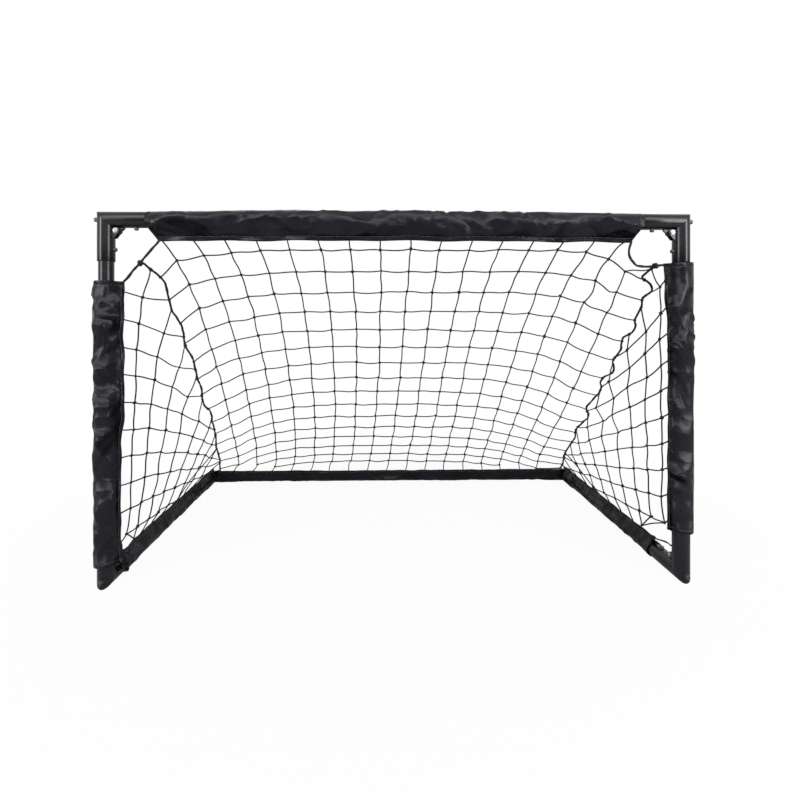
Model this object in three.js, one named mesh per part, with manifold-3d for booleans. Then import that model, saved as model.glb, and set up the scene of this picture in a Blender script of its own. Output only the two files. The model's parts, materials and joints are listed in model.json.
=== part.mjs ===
// Folding floorball goal: a steel front frame hinged to a U-shaped ground frame,
// with nylon sleeves laced over the tubes and a knotted net sagging between them.
// Millimetres, +Z up. While it is built, x = 0 is the middle of the goal, y = 0 is
// the plane of the posts' axes, +Y runs into the goal and z = 0 is the floor. The
// whole is moved at the end so that the middle of its footprint is the origin.
import * as THREE from 'three';
import { mergeVertices } from 'three/addons/utils/BufferGeometryUtils.js';
import Module from 'manifold-3d';

const wasm = await Module();
wasm.setup();

// Overall sizes
const goal_width = 1200;
const goal_height = 750;
const frame_depth = 560; // between the posts' axes and the back tube's axis

// Tubes and the bracket legs that they plug into
const tube_radius = 14;
const tube_wall = 1.2;
const leg_radius = 16;
const fit_gap = 0.3;
const leg_reach = 84; // from the corner's centre to the leg's end
const tube_stop = 26; // from the corner's centre to the tube's end
const rear_reach = 70;
const round_sides = 16;
const overrun = 40; // cutters run past what they cut
const cut_margin = 1; // and past a wall

// Corner hinges
const pivot_offset = 6.5; // from the legs' inner faces to the hinge bolt
const lug_radius = 5.9;
const lug_length = 21;
const lug_root = 0.9; // how deep a lug is welded into its leg
const lug_toe = 2.5; // its height at the far end
const tongue_thickness = 5;
const fork_thickness = 3.4;
const bolt_radius = 2.5;
const bolt_hole_radius = 2.85;
const bolt_head_radius = 4.6;
const bolt_head_height = 2.8;
const bolt_dome = 0.9;
const bolt_tail = 1.6;
const nut_radius = 4.8;
const nut_height = 4;
const bolt_sides = 10;
const nut_sides = 6;

// Snap buttons that hold the tubes in the legs, and lock pins that hold the corners
const button_offset = 60; // from the corner's centre
const button_radius = 4.2;
const button_hole_radius = 4.65;
const button_height = 5;
const button_crown = 1.4;
const button_flange_radius = 5.5;
const button_flange = 1.2;
const pin_radius = 4.5;
const pin_hole_radius = 4.95;
const pin_height = 7;
const pin_crown = 1.8;
const pin_flange_radius = 6.4;
const pin_flange = 1.6;
const crown_share = 0.74; // the dome's shoulder, as a share of the button's radius
const button_sides = 8;

// Nylon sleeves
const hem_half = 1.9; // half the thickness of the doubled hem strip
const hem_root_share = 1.02; // where the hem leaves the round part
const crossbar_cloth_radius = 21;
const post_cloth_radius = 19.4; // front to back
const post_cloth_half_width = 22.2;
const ground_cloth_radius = 15.95;
const covering_cloth_radius = 18.4; // where a ground sleeve passes over a bracket
const crossbar_hem = 43;
const crossbar_hem_inset = 20; // the hem strip is shorter than the sleeve
const crossbar_hem_lift = 2.6; // in the middle
const post_hem = 33;
const ground_hem = 32.5;
const hem_wave = 1.3;
const cloth_wave = 0.8;
const ground_cloth_wave = 0.3;
const cloth_step = 88; // between the sleeve's rings
const cloth_points = 9; // round a ring, besides the hem's four
const cloth_open = 38; // degrees from the hem to the first and last of them
const left_post_sleeve_low = 43;
const left_post_sleeve_slip = 38.7; // how far its top hangs below the bracket leg
const left_ground_sleeve_start = 45;
const hem_taper = 40;
const post_hem_turn = 10; // degrees from straight inwards
const ground_hem_turn = 10; // degrees from straight up
const back_hem_turn = 45;
const pouch_radius = 7; // where a sleeve is tented over a snap button
const pouch_room = 1.1;
const pouch_height = 2;
const slit_room = 1; // the left post sleeve is slit over the hinge's lug

// [share of a sleeve's length, share of its radius, its hem's reach or its turn]
const crossbar_radius_shares = [
  [0, 0.78], [0.1, 0.86], [0.3, 0.96], [0.5, 1], [0.7, 0.96], [0.9, 0.85], [1, 0.78],
];
const left_post_reach_shares = [
  [0, 0.94], [0.12, 0.82], [0.42, 0.84], [0.52, 1], [0.7, 1.02], [0.8, 0.94], [0.88, 1], [1, 1],
];
const right_post_reach_shares = [[0, 0.8], [0.3, 0.76], [0.7, 0.76], [0.85, 0.88], [1, 1.02]];
const even_shares = [[0, 1], [1, 1]];

// Net
const twine = 2.4;
const net_rows = 16;
const net_first_row = 16;
const net_strings = 17;
const net_string_pitch = 62.4;
const net_sag = 34.6;
const net_sag_skew_share = 0.23;
const net_pinch_share = 0.08;
const net_drift = 40; // the strings wander to the left towards the floor
const net_bow = [10, 21]; // and bow inwards, left and right of the middle
const net_drop_edge = [25, 34]; // how far rows hang lower beside each edge rope
const net_drop_middle = [96, 90];
const net_drop_power = [4, 3.1];
const net_drop_top_power = [0, 8]; // rows near the top bend more sharply on the right
const net_drop_top_reach = 120;
const net_drop_rise_power = [1, 1.6];
const net_last_drop = [43, 26]; // from a row's last knot to the edge rope
const net_string_shift = 3;
const net_end = 1.4; // a string's end stays this far from the hem
const side_mesh = 57; // between a side net's columns beside the edge rope
const side_row_pitch = 55;
const side_column_shares = [0.68, 0.72]; // the pitch at the post, left and right
const side_first_column = [31, 21];
const side_lowest_row = [86, 108]; // at the first column
const side_drop_shares = [0.64, 0.62];
const side_drop_power = [1.25, 0.95];
const side_drop_reach = 463;
const side_row_lift = [[0, 9], [8, 11]]; // at the post's hem, from the lowest row to the top one
const side_knot_room = 15; // knots stay this far from hems and ropes

// Edge ropes, corner ropes and foot ties
const rope_radius = 2.7;
const rope_sides = 8;
const rope_gap = 0.4;
const string_gap = 1.3; // from a string's end to the rope it is tied to
const tie_radius = 2;
const edge_rope_steps = 42;
const corner_rope_steps = 9;
const left_tie_steps = 20;
const right_tie_steps = 9;

// Derived sizes
const bore = tube_radius + fit_gap;
const sleeve_bore = leg_radius + fit_gap;
const axis_x = goal_width / 2 - leg_radius;
const ground_z = leg_radius;
const bar_z = goal_height - leg_radius;
const pivot = leg_radius + pivot_offset;
const side_names = new Map([[-1, 'left'], [1, 'right']]);

const X = new THREE.Vector3(1, 0, 0);
const Y = new THREE.Vector3(0, 1, 0);
const Z = new THREE.Vector3(0, 0, 1);
const vec = (x, y, z) => new THREE.Vector3(x, y, z);
const along = (start, direction, distance) => start.clone().addScaledVector(direction, distance);

const powder = { color: 0x17181b, roughness: 0.34, metalness: 0.35 };
const nylon = { color: 0x26262c, roughness: 0.62, metalness: 0 };
const cord = { color: 0x1c1c1f, roughness: 0.85, metalness: 0 };
const zinc = { color: 0xb9bcc2, roughness: 0.32, metalness: 0.9 };
const button_steel = { color: 0x2a2b2e, roughness: 0.3, metalness: 0.6 };

const goal = new THREE.Group();

function addMesh(name, geometry, finish) {
  geometry.computeVertexNormals();
  const mesh = new THREE.Mesh(geometry, new THREE.MeshStandardMaterial(finish));
  mesh.name = name;
  goal.add(mesh);
  return mesh;
}

// Solids for cutting and joining

function toSolid(geometry) {
  const bare = geometry.clone();
  bare.deleteAttribute('normal');
  bare.deleteAttribute('uv');
  const welded = mergeVertices(bare, fit_gap / 1000);
  const points = new Float32Array(welded.attributes.position.array);
  const kept = [];
  let volume = 0;
  const a = new THREE.Vector3();
  const b = new THREE.Vector3();
  const c = new THREE.Vector3();
  const index = welded.index.array;
  for (let i = 0; i < index.length; i += 3) {
    const [p, q, r] = [index[i], index[i + 1], index[i + 2]];
    if (p === q || q === r || r === p) continue;
    kept.push(p, q, r);
    a.fromArray(points, p * 3);
    b.fromArray(points, q * 3);
    c.fromArray(points, r * 3);
    volume += a.dot(b.cross(c));
  }
  if (volume < 0) {
    for (let i = 0; i < kept.length; i += 3) [kept[i], kept[i + 1]] = [kept[i + 1], kept[i]];
  }
  const mesh = new wasm.Mesh({
    numProp: 3, vertProperties: points, triVerts: new Uint32Array(kept),
  });
  return new wasm.Manifold(mesh);
}

function toGeometry(solid) {
  const mesh = solid.getMesh();
  const geometry = new THREE.BufferGeometry();
  const points = new Float32Array(mesh.vertProperties);
  geometry.setAttribute('position', new THREE.BufferAttribute(points, 3));
  geometry.setIndex(new THREE.BufferAttribute(new Uint32Array(mesh.triVerts), 1));
  return geometry;
}

// A right-handed frame whose Y runs along an axis and whose Z leans on a reference
function frameOn(origin, axis, reference) {
  const y = axis.clone().normalize();
  const z = reference.clone().addScaledVector(y, -reference.dot(y)).normalize();
  const x = new THREE.Vector3().crossVectors(y, z);
  return new THREE.Matrix4().makeBasis(x, y, z).setPosition(origin);
}

function sideways(axis) {
  return Math.abs(axis.z) > 0.9 ? Y : Z;
}

function rod(start, end, radius, sides = round_sides) {
  const axis = end.clone().sub(start);
  const length = axis.length();
  const cylinder = new THREE.CylinderGeometry(radius, radius, length, sides);
  cylinder.translate(0, length / 2, 0);
  return cylinder.applyMatrix4(frameOn(start, axis, sideways(axis.normalize())));
}

// A turned piece: its profile is [radius, distance along the axis]
function turned(origin, axis, profile, sides) {
  const points = profile.map(([r, d]) => new THREE.Vector2(r, d));
  return new THREE.LatheGeometry(points, sides).applyMatrix4(frameOn(origin, axis, sideways(axis)));
}

// Joins rings of points into a closed body: a loop of rings, or a run with two caps
function loft(rings, closed) {
  const count = rings[0].length;
  const points = rings.flat().flatMap((p) => [p.x, p.y, p.z]);
  const index = [];
  const last = closed ? rings.length : rings.length - 1;
  for (let i = 0; i < last; i += 1) {
    const here = i * count;
    const next = ((i + 1) % rings.length) * count;
    for (let k = 0; k < count; k += 1) {
      const m = (k + 1) % count;
      index.push(here + k, here + m, next + m, here + k, next + m, next + k);
    }
  }
  if (!closed) {
    const cap = (ring, offset, flip) => {
      const u = ring[1].clone().sub(ring[0]).normalize();
      const normal = new THREE.Vector3();
      ring.forEach((p, k) => {
        const q = ring[(k + 1) % count];
        normal.add(new THREE.Vector3().crossVectors(p, q));
      });
      normal.normalize();
      const v = new THREE.Vector3().crossVectors(normal, u);
      const flat = ring.map((p) => new THREE.Vector2(p.dot(u), p.dot(v)));
      for (const [p, q, r] of THREE.ShapeUtils.triangulateShape(flat, [])) {
        if (flip) index.push(offset + p, offset + r, offset + q);
        else index.push(offset + p, offset + q, offset + r);
      }
    };
    cap(rings[0], 0, true);
    cap(rings[rings.length - 1], (rings.length - 1) * count, false);
  }
  const geometry = new THREE.BufferGeometry();
  geometry.setAttribute('position', new THREE.Float32BufferAttribute(points, 3));
  geometry.setIndex(index);
  return toGeometry(toSolid(geometry));
}

function circleRing(centre, axis, radius, reference) {
  const side = new THREE.Vector3().crossVectors(axis, reference);
  return Array.from({ length: round_sides }, (_, k) => {
    const angle = (k / round_sides) * Math.PI * 2;
    const out = along(along(vec(0, 0, 0), reference, Math.cos(angle)), side, Math.sin(angle));
    return along(centre, out, radius);
  });
}

// One mitred leg of a folding corner. It runs from the mitre plane along its own
// direction; the other leg lies towards `other`.
function mitredLeg(corner, direction, other) {
  const hinge = new THREE.Vector3().crossVectors(direction, other);
  const normal = direction.clone().sub(other).normalize();
  const onMitre = (radius) => circleRing(corner, direction, radius, hinge).map((p) => {
    const offset = p.clone().sub(corner);
    const run = (fit_gap / 2 - offset.dot(normal)) / direction.dot(normal);
    return along(p, direction, run);
  });
  const atEnd = (radius) => circleRing(
    along(corner, direction, leg_reach), direction, radius, hinge);
  return toSolid(loft([atEnd(leg_radius), onMitre(leg_radius), onMitre(bore), atEnd(bore)], true));
}

function lugPlate(corner, direction, other, low, high) {
  const hinge = new THREE.Vector3().crossVectors(direction, other);
  const outline = new THREE.Shape();
  const root = leg_radius - lug_root;
  outline.moveTo(pivot - lug_radius, root);
  outline.lineTo(leg_radius + lug_length, root);
  outline.lineTo(leg_radius + lug_length, leg_radius + lug_toe);
  outline.absarc(pivot, pivot, lug_radius, Math.PI / 4, Math.PI, false);
  outline.lineTo(pivot - lug_radius, root);
  const plate = new THREE.ExtrudeGeometry(outline, {
    depth: high - low, bevelEnabled: false, curveSegments: bolt_sides / 2,
  });
  plate.translate(0, 0, low);
  const basis = new THREE.Matrix4().makeBasis(direction, other, hinge).setPosition(corner);
  return toSolid(plate.applyMatrix4(basis));
}

function pivotPoint(corner, direction, other) {
  return along(along(corner, direction, pivot), other, pivot);
}

function buttonHole(corner, direction, other) {
  const seat = along(corner, direction, button_offset);
  return toSolid(rod(seat, along(seat, other, leg_radius + overrun),
    button_hole_radius, button_sides));
}

// A finished leg. Forked legs carry two lug plates, the others one tongue between
// them. The pin's leg has the hole for the lock pin in its outer wall.
function bracketLeg(name, corner, direction, other, { forked, pinned }) {
  const half = tongue_thickness / 2;
  const inner = half + fit_gap;
  let solid = mitredLeg(corner, direction, other);
  if (forked) {
    solid = solid.add(lugPlate(corner, direction, other, inner, inner + fork_thickness));
    solid = solid.add(lugPlate(corner, direction, other, -inner - fork_thickness, -inner));
  } else {
    solid = solid.add(lugPlate(corner, direction, other, -half, half));
  }
  // the lug's root stays out of the bore
  const bore_end = along(corner, direction, leg_reach + overrun);
  const clear_bore = toSolid(rod(along(corner, direction, leg_radius), bore_end, bore));
  solid = solid.subtract(clear_bore);
  const hinge = new THREE.Vector3().crossVectors(direction, other);
  const centre = pivotPoint(corner, direction, other);
  solid = solid.subtract(toSolid(rod(along(centre, hinge, -overrun),
    along(centre, hinge, overrun), bolt_hole_radius, bolt_sides)));
  solid = solid.subtract(buttonHole(corner, direction, other));
  if (pinned) {
    solid = solid.subtract(toSolid(rod(corner, along(corner, other, -leg_radius - overrun),
      pin_hole_radius, button_sides)));
  }
  addMesh(name, toGeometry(solid), powder);
}

function hingeBolt(name, corner, direction, other, head_direction) {
  const centre = pivotPoint(corner, direction, other);
  const half = tongue_thickness / 2 + fit_gap + fork_thickness;
  const back = head_direction.clone().negate();
  const tail = half + fit_gap + nut_height + bolt_tail;
  const face = half + fit_gap;
  const shoulder = bolt_head_radius * crown_share;
  const bolt = turned(centre, head_direction, [
    [0, -tail], [bolt_radius, -tail], [bolt_radius, face], [bolt_head_radius, face],
    [bolt_head_radius, face + bolt_head_height - bolt_dome],
    [shoulder, face + bolt_head_height], [0, face + bolt_head_height],
  ], bolt_sides);
  addMesh(`${name}_bolt`, toGeometry(toSolid(bolt)), zinc);
  const seat = along(centre, back, face);
  const nut = toSolid(rod(seat, along(seat, back, nut_height), nut_radius, nut_sides));
  const hole = toSolid(rod(along(seat, back, -cut_margin),
    along(seat, back, nut_height + cut_margin), bolt_hole_radius, bolt_sides));
  addMesh(`${name}_nut`, toGeometry(nut.subtract(hole)), zinc);
}

// A snap button sits in the tube and comes out through both walls
function snapButton(name, corner, direction, other) {
  const seat = along(corner, direction, button_offset);
  const inside = tube_radius - tube_wall;
  const flange_top = Math.sqrt(inside ** 2 - button_flange_radius ** 2) - fit_gap * 2;
  const flange_low = flange_top - button_flange;
  const tip = leg_radius + button_height;
  addMesh(name, toGeometry(toSolid(turned(seat, other, [
    [0, flange_low], [button_flange_radius, flange_low],
    [button_flange_radius, flange_top], [button_radius, flange_top],
    [button_radius, tip - button_crown], [button_radius * crown_share, tip - button_crown / 4],
    [0, tip],
  ], button_sides))), button_steel);
}

// A lock pin lies on the other leg's axis and comes out through this leg's outer wall
function lockPin(name, corner, outward) {
  const flange_top = Math.sqrt(bore ** 2 - pin_flange_radius ** 2) - fit_gap * 2;
  const flange_low = flange_top - pin_flange;
  const tip = leg_radius + pin_height;
  addMesh(name, toGeometry(toSolid(turned(corner, outward, [
    [0, flange_low], [pin_flange_radius, flange_low],
    [pin_flange_radius, flange_top], [pin_radius, flange_top],
    [pin_radius, tip - pin_crown], [pin_radius * crown_share, tip - pin_crown / 4],
    [0, tip],
  ], button_sides))), button_steel);
}

// A thin-walled tube with its button holes: holes are [distance from start, direction]
function frameTube(name, start, end, holes) {
  const axis = end.clone().sub(start).normalize();
  const reach = overrun;
  let solid = toSolid(rod(start, end, tube_radius));
  solid = solid.subtract(toSolid(rod(along(start, axis, -reach), along(end, axis, reach),
    tube_radius - tube_wall)));
  for (const [distance, direction] of holes) {
    const seat = along(start, axis, distance);
    solid = solid.subtract(toSolid(rod(seat, along(seat, direction, reach),
      button_hole_radius, button_sides)));
  }
  addMesh(name, toGeometry(solid), powder);
}

// Sleeves

const turnFrom = (a, b, degrees) => {
  const angle = (degrees * Math.PI) / 180;
  return along(a.clone().multiplyScalar(Math.cos(angle)), b, Math.sin(angle)).normalize();
};

// The wave is a slow sum of sines, so that hems and bulges wander as cloth does
function wave(distance, length, seed) {
  const turns = (distance / length) * Math.PI * 2;
  const phase = seed * Math.PI * 2;
  return (Math.sin(turns * 5.1 + phase) + Math.sin(turns * 8.3 + phase * 2.7)) / 2;
}

// The value of a table of [place, value] pairs, straight between them
function easeTable(table, place) {
  for (let i = 1; i < table.length; i += 1) {
    const [from, low] = table[i - 1];
    const [to, high] = table[i];
    if (place <= to) return low + (high - low) * Math.max((place - from) / (to - from), 0);
  }
  return table[table.length - 1][1];
}

// start and end lie on the tube's axis; start_inset and end_inset are how far the hem
// strip stops short of the sleeve's two ends
function sleevePlan(start, end, hem, options) {
  const { reach, start_inset, end_inset, seed } = options;
  const axis = end.clone().sub(start);
  const length = axis.length();
  axis.normalize();
  const across = new THREE.Vector3().crossVectors(axis, hem);
  const inner = length - start_inset - end_inset;
  const count = Math.max(3, Math.round(inner / cloth_step));
  const places = new Set([0, length, ...(options.breaks ?? [])]);
  for (let i = 0; i <= count; i += 1) places.add(start_inset + (inner * i) / count);
  const stations = [...places].sort((a, b) => a - b);
  const half_width = options.half_width ?? options.radius;
  const rings = stations.map((distance) => {
    const share = distance / length;
    const radius = options.radii ? easeTable(options.radii, distance)
      : options.radius * easeTable(options.radius_shares ?? even_shares, share);
    const root = half_width * (radius / options.radius) * hem_root_share;
    const bare = (distance < start_inset || distance > length - end_inset);
    const edge = distance <= start_inset || distance >= length - end_inset;
    const sag = (options.lift ?? 0) * (1 - (2 * share - 1) ** 2);
    const full = reach * easeTable(options.reach_shares ?? even_shares, share) - sag
      + (edge ? 0 : hem_wave * wave(distance, length, seed));
    const way = turnFrom(hem, across, -(options.turns ? easeTable(options.turns, share) : 0));
    const centre = along(start, axis, distance);
    const reached = bare ? root + hem_half : Math.max(full, root + hem_half / 2);
    return { distance, centre, way, radius, root, reach: reached };
  });
  return { ...options, start, axis, length, hem, rings, half_width };
}

// A point on the hem's free edge, `extra` beyond it
function hemTip(plan, distance, extra = 0) {
  const { rings } = plan;
  let i = 1;
  while (i < rings.length - 1 && rings[i].distance < distance) i += 1;
  const [low, high] = [rings[i - 1], rings[i]];
  const share = (distance - low.distance) / (high.distance - low.distance);
  const tip = (ring) => along(ring.centre, ring.way, ring.reach + extra);
  return tip(low).lerp(tip(high), Math.min(Math.max(share, 0), 1));
}

function sleeveBody(plan) {
  const rings = plan.rings.map((ring, i) => {
    const across = new THREE.Vector3().crossVectors(plan.axis, ring.way);
    const ripple = wave(ring.distance, plan.length, plan.seed + 0.37);
    const swell = plan.low_wave ? -plan.low_wave * Math.abs(ripple) : cloth_wave * ripple;
    const at = (h, w) => along(along(ring.centre, ring.way, h), across, w);
    const wide = plan.half_width / plan.radius;
    const arc = Array.from({ length: cloth_points }, (_, k) => {
      const degrees = cloth_open + ((360 - 2 * cloth_open) * k) / (cloth_points - 1);
      const angle = (degrees * Math.PI) / 180;
      const near = ring.radius + (swell * (1 + Math.sin(k * 2.1 + i * 1.3))) / 2;
      return at(near * wide * Math.cos(angle), near * Math.sin(angle));
    });
    const { root, reach } = ring;
    return [at(reach, hem_half), at(root, hem_half), ...arc,
      at(root, -hem_half), at(reach, -hem_half)];
  });
  return toSolid(loft(rings, false));
}

function boreCut(plan, from, to, radius) {
  return toSolid(rod(along(plan.start, plan.axis, from), along(plan.start, plan.axis, to), radius));
}

function pouch(body, seat, outward, sleeve_radius) {
  const high = leg_radius + button_height + pouch_room;
  const boss = rod(along(seat, outward, sleeve_radius - pouch_room),
    along(seat, outward, high + pouch_height), pouch_radius, button_sides);
  const room = rod(along(seat, outward, leg_radius - cut_margin), along(seat, outward, high),
    button_hole_radius + pouch_room / 2, button_sides);
  return body.add(toSolid(boss)).subtract(toSolid(room));
}

function slab(centre, size) {
  const box = new THREE.BoxGeometry(size.x, size.y, size.z);
  return toSolid(box.translate(centre.x, centre.y, centre.z));
}

const floor_cut = slab(
  vec(0, frame_depth / 2, -overrun / 2),
  vec(goal_width * 2, frame_depth * 2, overrun));

// The half space beyond a rear corner's mitre, on the back tube's side
function mitreCut(side, keep_back) {
  const size = frame_depth;
  const box = new THREE.BoxGeometry(size, size, size);
  const sign = keep_back ? -1 : 1;
  box.translate(0, sign * (size / 2 - fit_gap / 2), 0);
  box.rotateZ(side * Math.PI / 4);
  return toSolid(box.translate(side * axis_x, frame_depth, 0));
}

// Frame

const top_corner = (side) => vec(side * axis_x, 0, bar_z);
const foot_corner = (side) => vec(side * axis_x, 0, ground_z);
const rear_corner = (side) => vec(side * axis_x, frame_depth, ground_z);
const down = Z.clone().negate();
const front = Y.clone().negate();

for (const [side, label] of side_names) {
  const inward = X.clone().multiplyScalar(-side);
  const outward = X.clone().multiplyScalar(side);
  const top = top_corner(side);
  const foot = foot_corner(side);
  bracketLeg(`${label}_crossbar_leg`, top, inward, down, { forked: false, pinned: false });
  bracketLeg(`${label}_post_top_leg`, top, down, inward, { forked: true, pinned: true });
  hingeBolt(`${label}_top_hinge`, top, inward, down, front);
  bracketLeg(`${label}_post_foot_leg`, foot, Z, Y, { forked: false, pinned: true });
  bracketLeg(`${label}_ground_leg`, foot, Y, Z, { forked: true, pinned: false });
  hingeBolt(`${label}_foot_hinge`, foot, Y, Z, outward);
  snapButton(`${label}_crossbar_button`, top, inward, down);
  snapButton(`${label}_post_top_button`, top, down, inward);
  snapButton(`${label}_post_foot_button`, foot, Z, Y);
  snapButton(`${label}_ground_button`, foot, Y, Z);
  lockPin(`${label}_top_lock_pin`, top, outward);
  lockPin(`${label}_foot_lock_pin`, foot, front);

  const post_foot = along(foot, Z, tube_stop);
  const post_top = along(top, down, tube_stop);
  const post_length = post_top.z - post_foot.z;
  const near_hole = button_offset - tube_stop;
  frameTube(`${label}_post_tube`, post_foot, post_top,
    [[near_hole, Y], [post_length - near_hole, inward]]);
  const side_start = along(foot, Y, tube_stop);
  const side_end = along(rear_corner(side), front, tube_stop);
  frameTube(`${label}_side_tube`, side_start, side_end, [[near_hole, Z]]);

  // The rear elbow: two mitred legs in one piece, over the side and back tubes
  const rear = rear_corner(side);
  const elbow_ring = (centre, axis, radius) => circleRing(centre, axis, radius, Z);
  const mitre_ring = (radius) => circleRing(rear, Y, radius, Z).map((p) => {
    const offset = p.clone().sub(rear);
    return along(p, Y, side * offset.x);
  });
  const side_run = along(rear, front, rear_reach);
  const back_run = along(rear, inward, rear_reach);
  const turn = side < 0 ? X : X.clone().negate();
  addMesh(`${label}_rear_elbow`, loft([
    elbow_ring(side_run, Y, leg_radius), mitre_ring(leg_radius),
    elbow_ring(back_run, turn, leg_radius), elbow_ring(back_run, turn, bore),
    mitre_ring(bore), elbow_ring(side_run, Y, bore),
  ], true), powder);
}

const bar_end = axis_x - tube_stop;
const bar_holes = [button_offset - tube_stop, 2 * bar_end - (button_offset - tube_stop)];
frameTube('crossbar_tube', vec(-bar_end, 0, bar_z), vec(bar_end, 0, bar_z),
  bar_holes.map((distance) => [distance, down]));
frameTube('back_tube', vec(-bar_end, frame_depth, ground_z), vec(bar_end, frame_depth, ground_z), []);

// Sleeves

const leg_end = leg_reach + fit_gap;
const bar_half = axis_x - leg_end;
const crossbar_plan = sleevePlan(vec(-bar_half, 0, bar_z), vec(bar_half, 0, bar_z), down, {
  radius: crossbar_cloth_radius, radius_shares: crossbar_radius_shares,
  reach: crossbar_hem, lift: crossbar_hem_lift,
  start_inset: crossbar_hem_inset, end_inset: crossbar_hem_inset, seed: 0.13,
});
const crossbar_cut = boreCut(crossbar_plan, -overrun, crossbar_plan.length + overrun, bore);
addMesh('crossbar_sleeve', toGeometry(sleeveBody(crossbar_plan).subtract(crossbar_cut)), nylon);

const post_plans = new Map();
const ground_plans = new Map();
for (const [side, label] of side_names) {
  const inward = X.clone().multiplyScalar(-side);
  const foot = foot_corner(side);
  const rear = rear_corner(side);
  const left = side < 0;

  // post: the left sleeve has slipped down over its foot leg, the right one hasn't
  const low = left ? left_post_sleeve_low : ground_z + leg_end;
  const high = bar_z - leg_end - (left ? left_post_sleeve_slip : 0);
  const post_hem_way = turnFrom(inward, Y, post_hem_turn);
  const post_plan = sleevePlan(vec(foot.x, 0, low), vec(foot.x, 0, high), post_hem_way, {
    radius: post_cloth_radius, half_width: post_cloth_half_width,
    reach: post_hem, reach_shares: left ? left_post_reach_shares : right_post_reach_shares,
    start_inset: 0, end_inset: 0, seed: left ? 0.41 : 0.78,
  });
  post_plans.set(side, post_plan);
  let post = sleeveBody(post_plan);
  post = post.subtract(boreCut(post_plan, -overrun, post_plan.length + overrun, bore));
  if (left) {
    const over = ground_z + leg_end - low;
    post = post.subtract(boreCut(post_plan, -overrun, over, sleeve_bore));
    post = pouch(post, along(foot, Z, button_offset), Y, post_cloth_radius);
    const slit_half = tongue_thickness / 2 + fit_gap + fork_thickness + slit_room;
    const slit_top = ground_z + leg_radius + lug_length + slit_room;
    post = post.subtract(slab(vec(foot.x, tube_radius + post_cloth_radius / 2, slit_top / 2),
      vec(2 * slit_half, post_cloth_radius, slit_top)));
  }
  addMesh(`${label}_post_sleeve`, toGeometry(post), nylon);

  // ground: it runs round the rear corner to the mitre
  const start = left ? left_ground_sleeve_start : leg_end;
  const finish = frame_depth + covering_cloth_radius + overrun;
  const ground_hem_way = turnFrom(Z, inward, ground_hem_turn);
  const elbow_from = rear.y - rear_reach - fit_gap - start;
  const easy = hem_taper / 2;
  const covered = [[elbow_from - easy, ground_cloth_radius],
    [elbow_from - cut_margin, covering_cloth_radius], [elbow_from + easy, covering_cloth_radius]];
  const leg_covered = [[0, covering_cloth_radius], [leg_end - start + cut_margin, covering_cloth_radius],
    [leg_end - start + easy, ground_cloth_radius]];
  const radii = left ? [...leg_covered, ...covered] : [[0, ground_cloth_radius], ...covered];
  const ground_plan = sleevePlan(vec(foot.x, start, ground_z), vec(foot.x, finish, ground_z),
    ground_hem_way, {
      radius: ground_cloth_radius, reach: ground_hem, start_inset: left ? hem_taper : 0, end_inset: 0,
      radii, breaks: radii.map(([place]) => place).filter((place) => place > 0),
      low_wave: ground_cloth_wave,
      seed: left ? 0.22 : 0.59,
    });
  ground_plans.set(side, ground_plan);
  let ground = sleeveBody(ground_plan);
  ground = ground.subtract(boreCut(ground_plan, -overrun, finish, bore));
  ground = ground.subtract(boreCut(ground_plan, elbow_from, finish, sleeve_bore));
  if (left) {
    ground = ground.subtract(boreCut(ground_plan, -overrun, leg_end - start, sleeve_bore));
    ground = pouch(ground, along(foot, Y, button_offset), Z, covering_cloth_radius);
  }
  ground = ground.subtract(mitreCut(side, false)).subtract(floor_cut);
  addMesh(`${label}_ground_sleeve`, toGeometry(ground), nylon);
}

const back_hem_way = turnFrom(Z, front, back_hem_turn);
const back_half = axis_x + covering_cloth_radius + overrun;
const back_elbow = back_half - (axis_x - rear_reach - fit_gap);
const back_radii = [[back_elbow - hem_taper / 2, covering_cloth_radius],
  [back_elbow + cut_margin, covering_cloth_radius],
  [back_elbow + hem_taper / 2, ground_cloth_radius],
  [2 * back_half - back_elbow - hem_taper / 2, ground_cloth_radius],
  [2 * back_half - back_elbow - cut_margin, covering_cloth_radius],
  [2 * back_half - back_elbow + hem_taper / 2, covering_cloth_radius]];
const back_plan = sleevePlan(vec(-back_half, frame_depth, ground_z),
  vec(back_half, frame_depth, ground_z), back_hem_way, {
    radius: ground_cloth_radius, reach: ground_hem, start_inset: 0, end_inset: 0,
    radii: back_radii, breaks: back_radii.map(([place]) => place), seed: 0.91,
    low_wave: ground_cloth_wave,
  });
let back_sleeve = sleeveBody(back_plan);
back_sleeve = back_sleeve.subtract(boreCut(back_plan, -overrun, back_plan.length + overrun, bore));
for (const side of side_names.keys()) {
  const elbow_from = axis_x - rear_reach - fit_gap;
  const cut = rod(vec(side * elbow_from, frame_depth, ground_z),
    vec(side * (back_half + overrun), frame_depth, ground_z), sleeve_bore);
  back_sleeve = back_sleeve.subtract(toSolid(cut)).subtract(mitreCut(side, true));
}
addMesh('back_sleeve', toGeometry(back_sleeve.subtract(floor_cut)), nylon);

// Net surface: from the crossbar's hem down to the back tube's hem, sagging between

const net_top = vec(0, 0, bar_z - crossbar_hem);
const net_low = along(vec(0, frame_depth, ground_z), back_hem_way, ground_hem);
const net_chord = net_low.clone().sub(net_top);
const net_normal = vec(0, net_chord.z, -net_chord.y).normalize();

function netSection(t) {
  const bulge = net_sag * 4 * t * (1 - t) * (1 + net_sag_skew_share * (2 * t - 1));
  return along(along(net_top, net_chord, t), net_normal, bulge);
}

const section_steps = 240;
const section = Array.from({ length: section_steps + 1 }, (_, i) => netSection(i / section_steps));
const section_run = [0];
for (let i = 1; i <= section_steps; i += 1) {
  section_run.push(section_run[i - 1] + section[i].distanceTo(section[i - 1]));
}
const net_length = section_run[section_steps];

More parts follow.
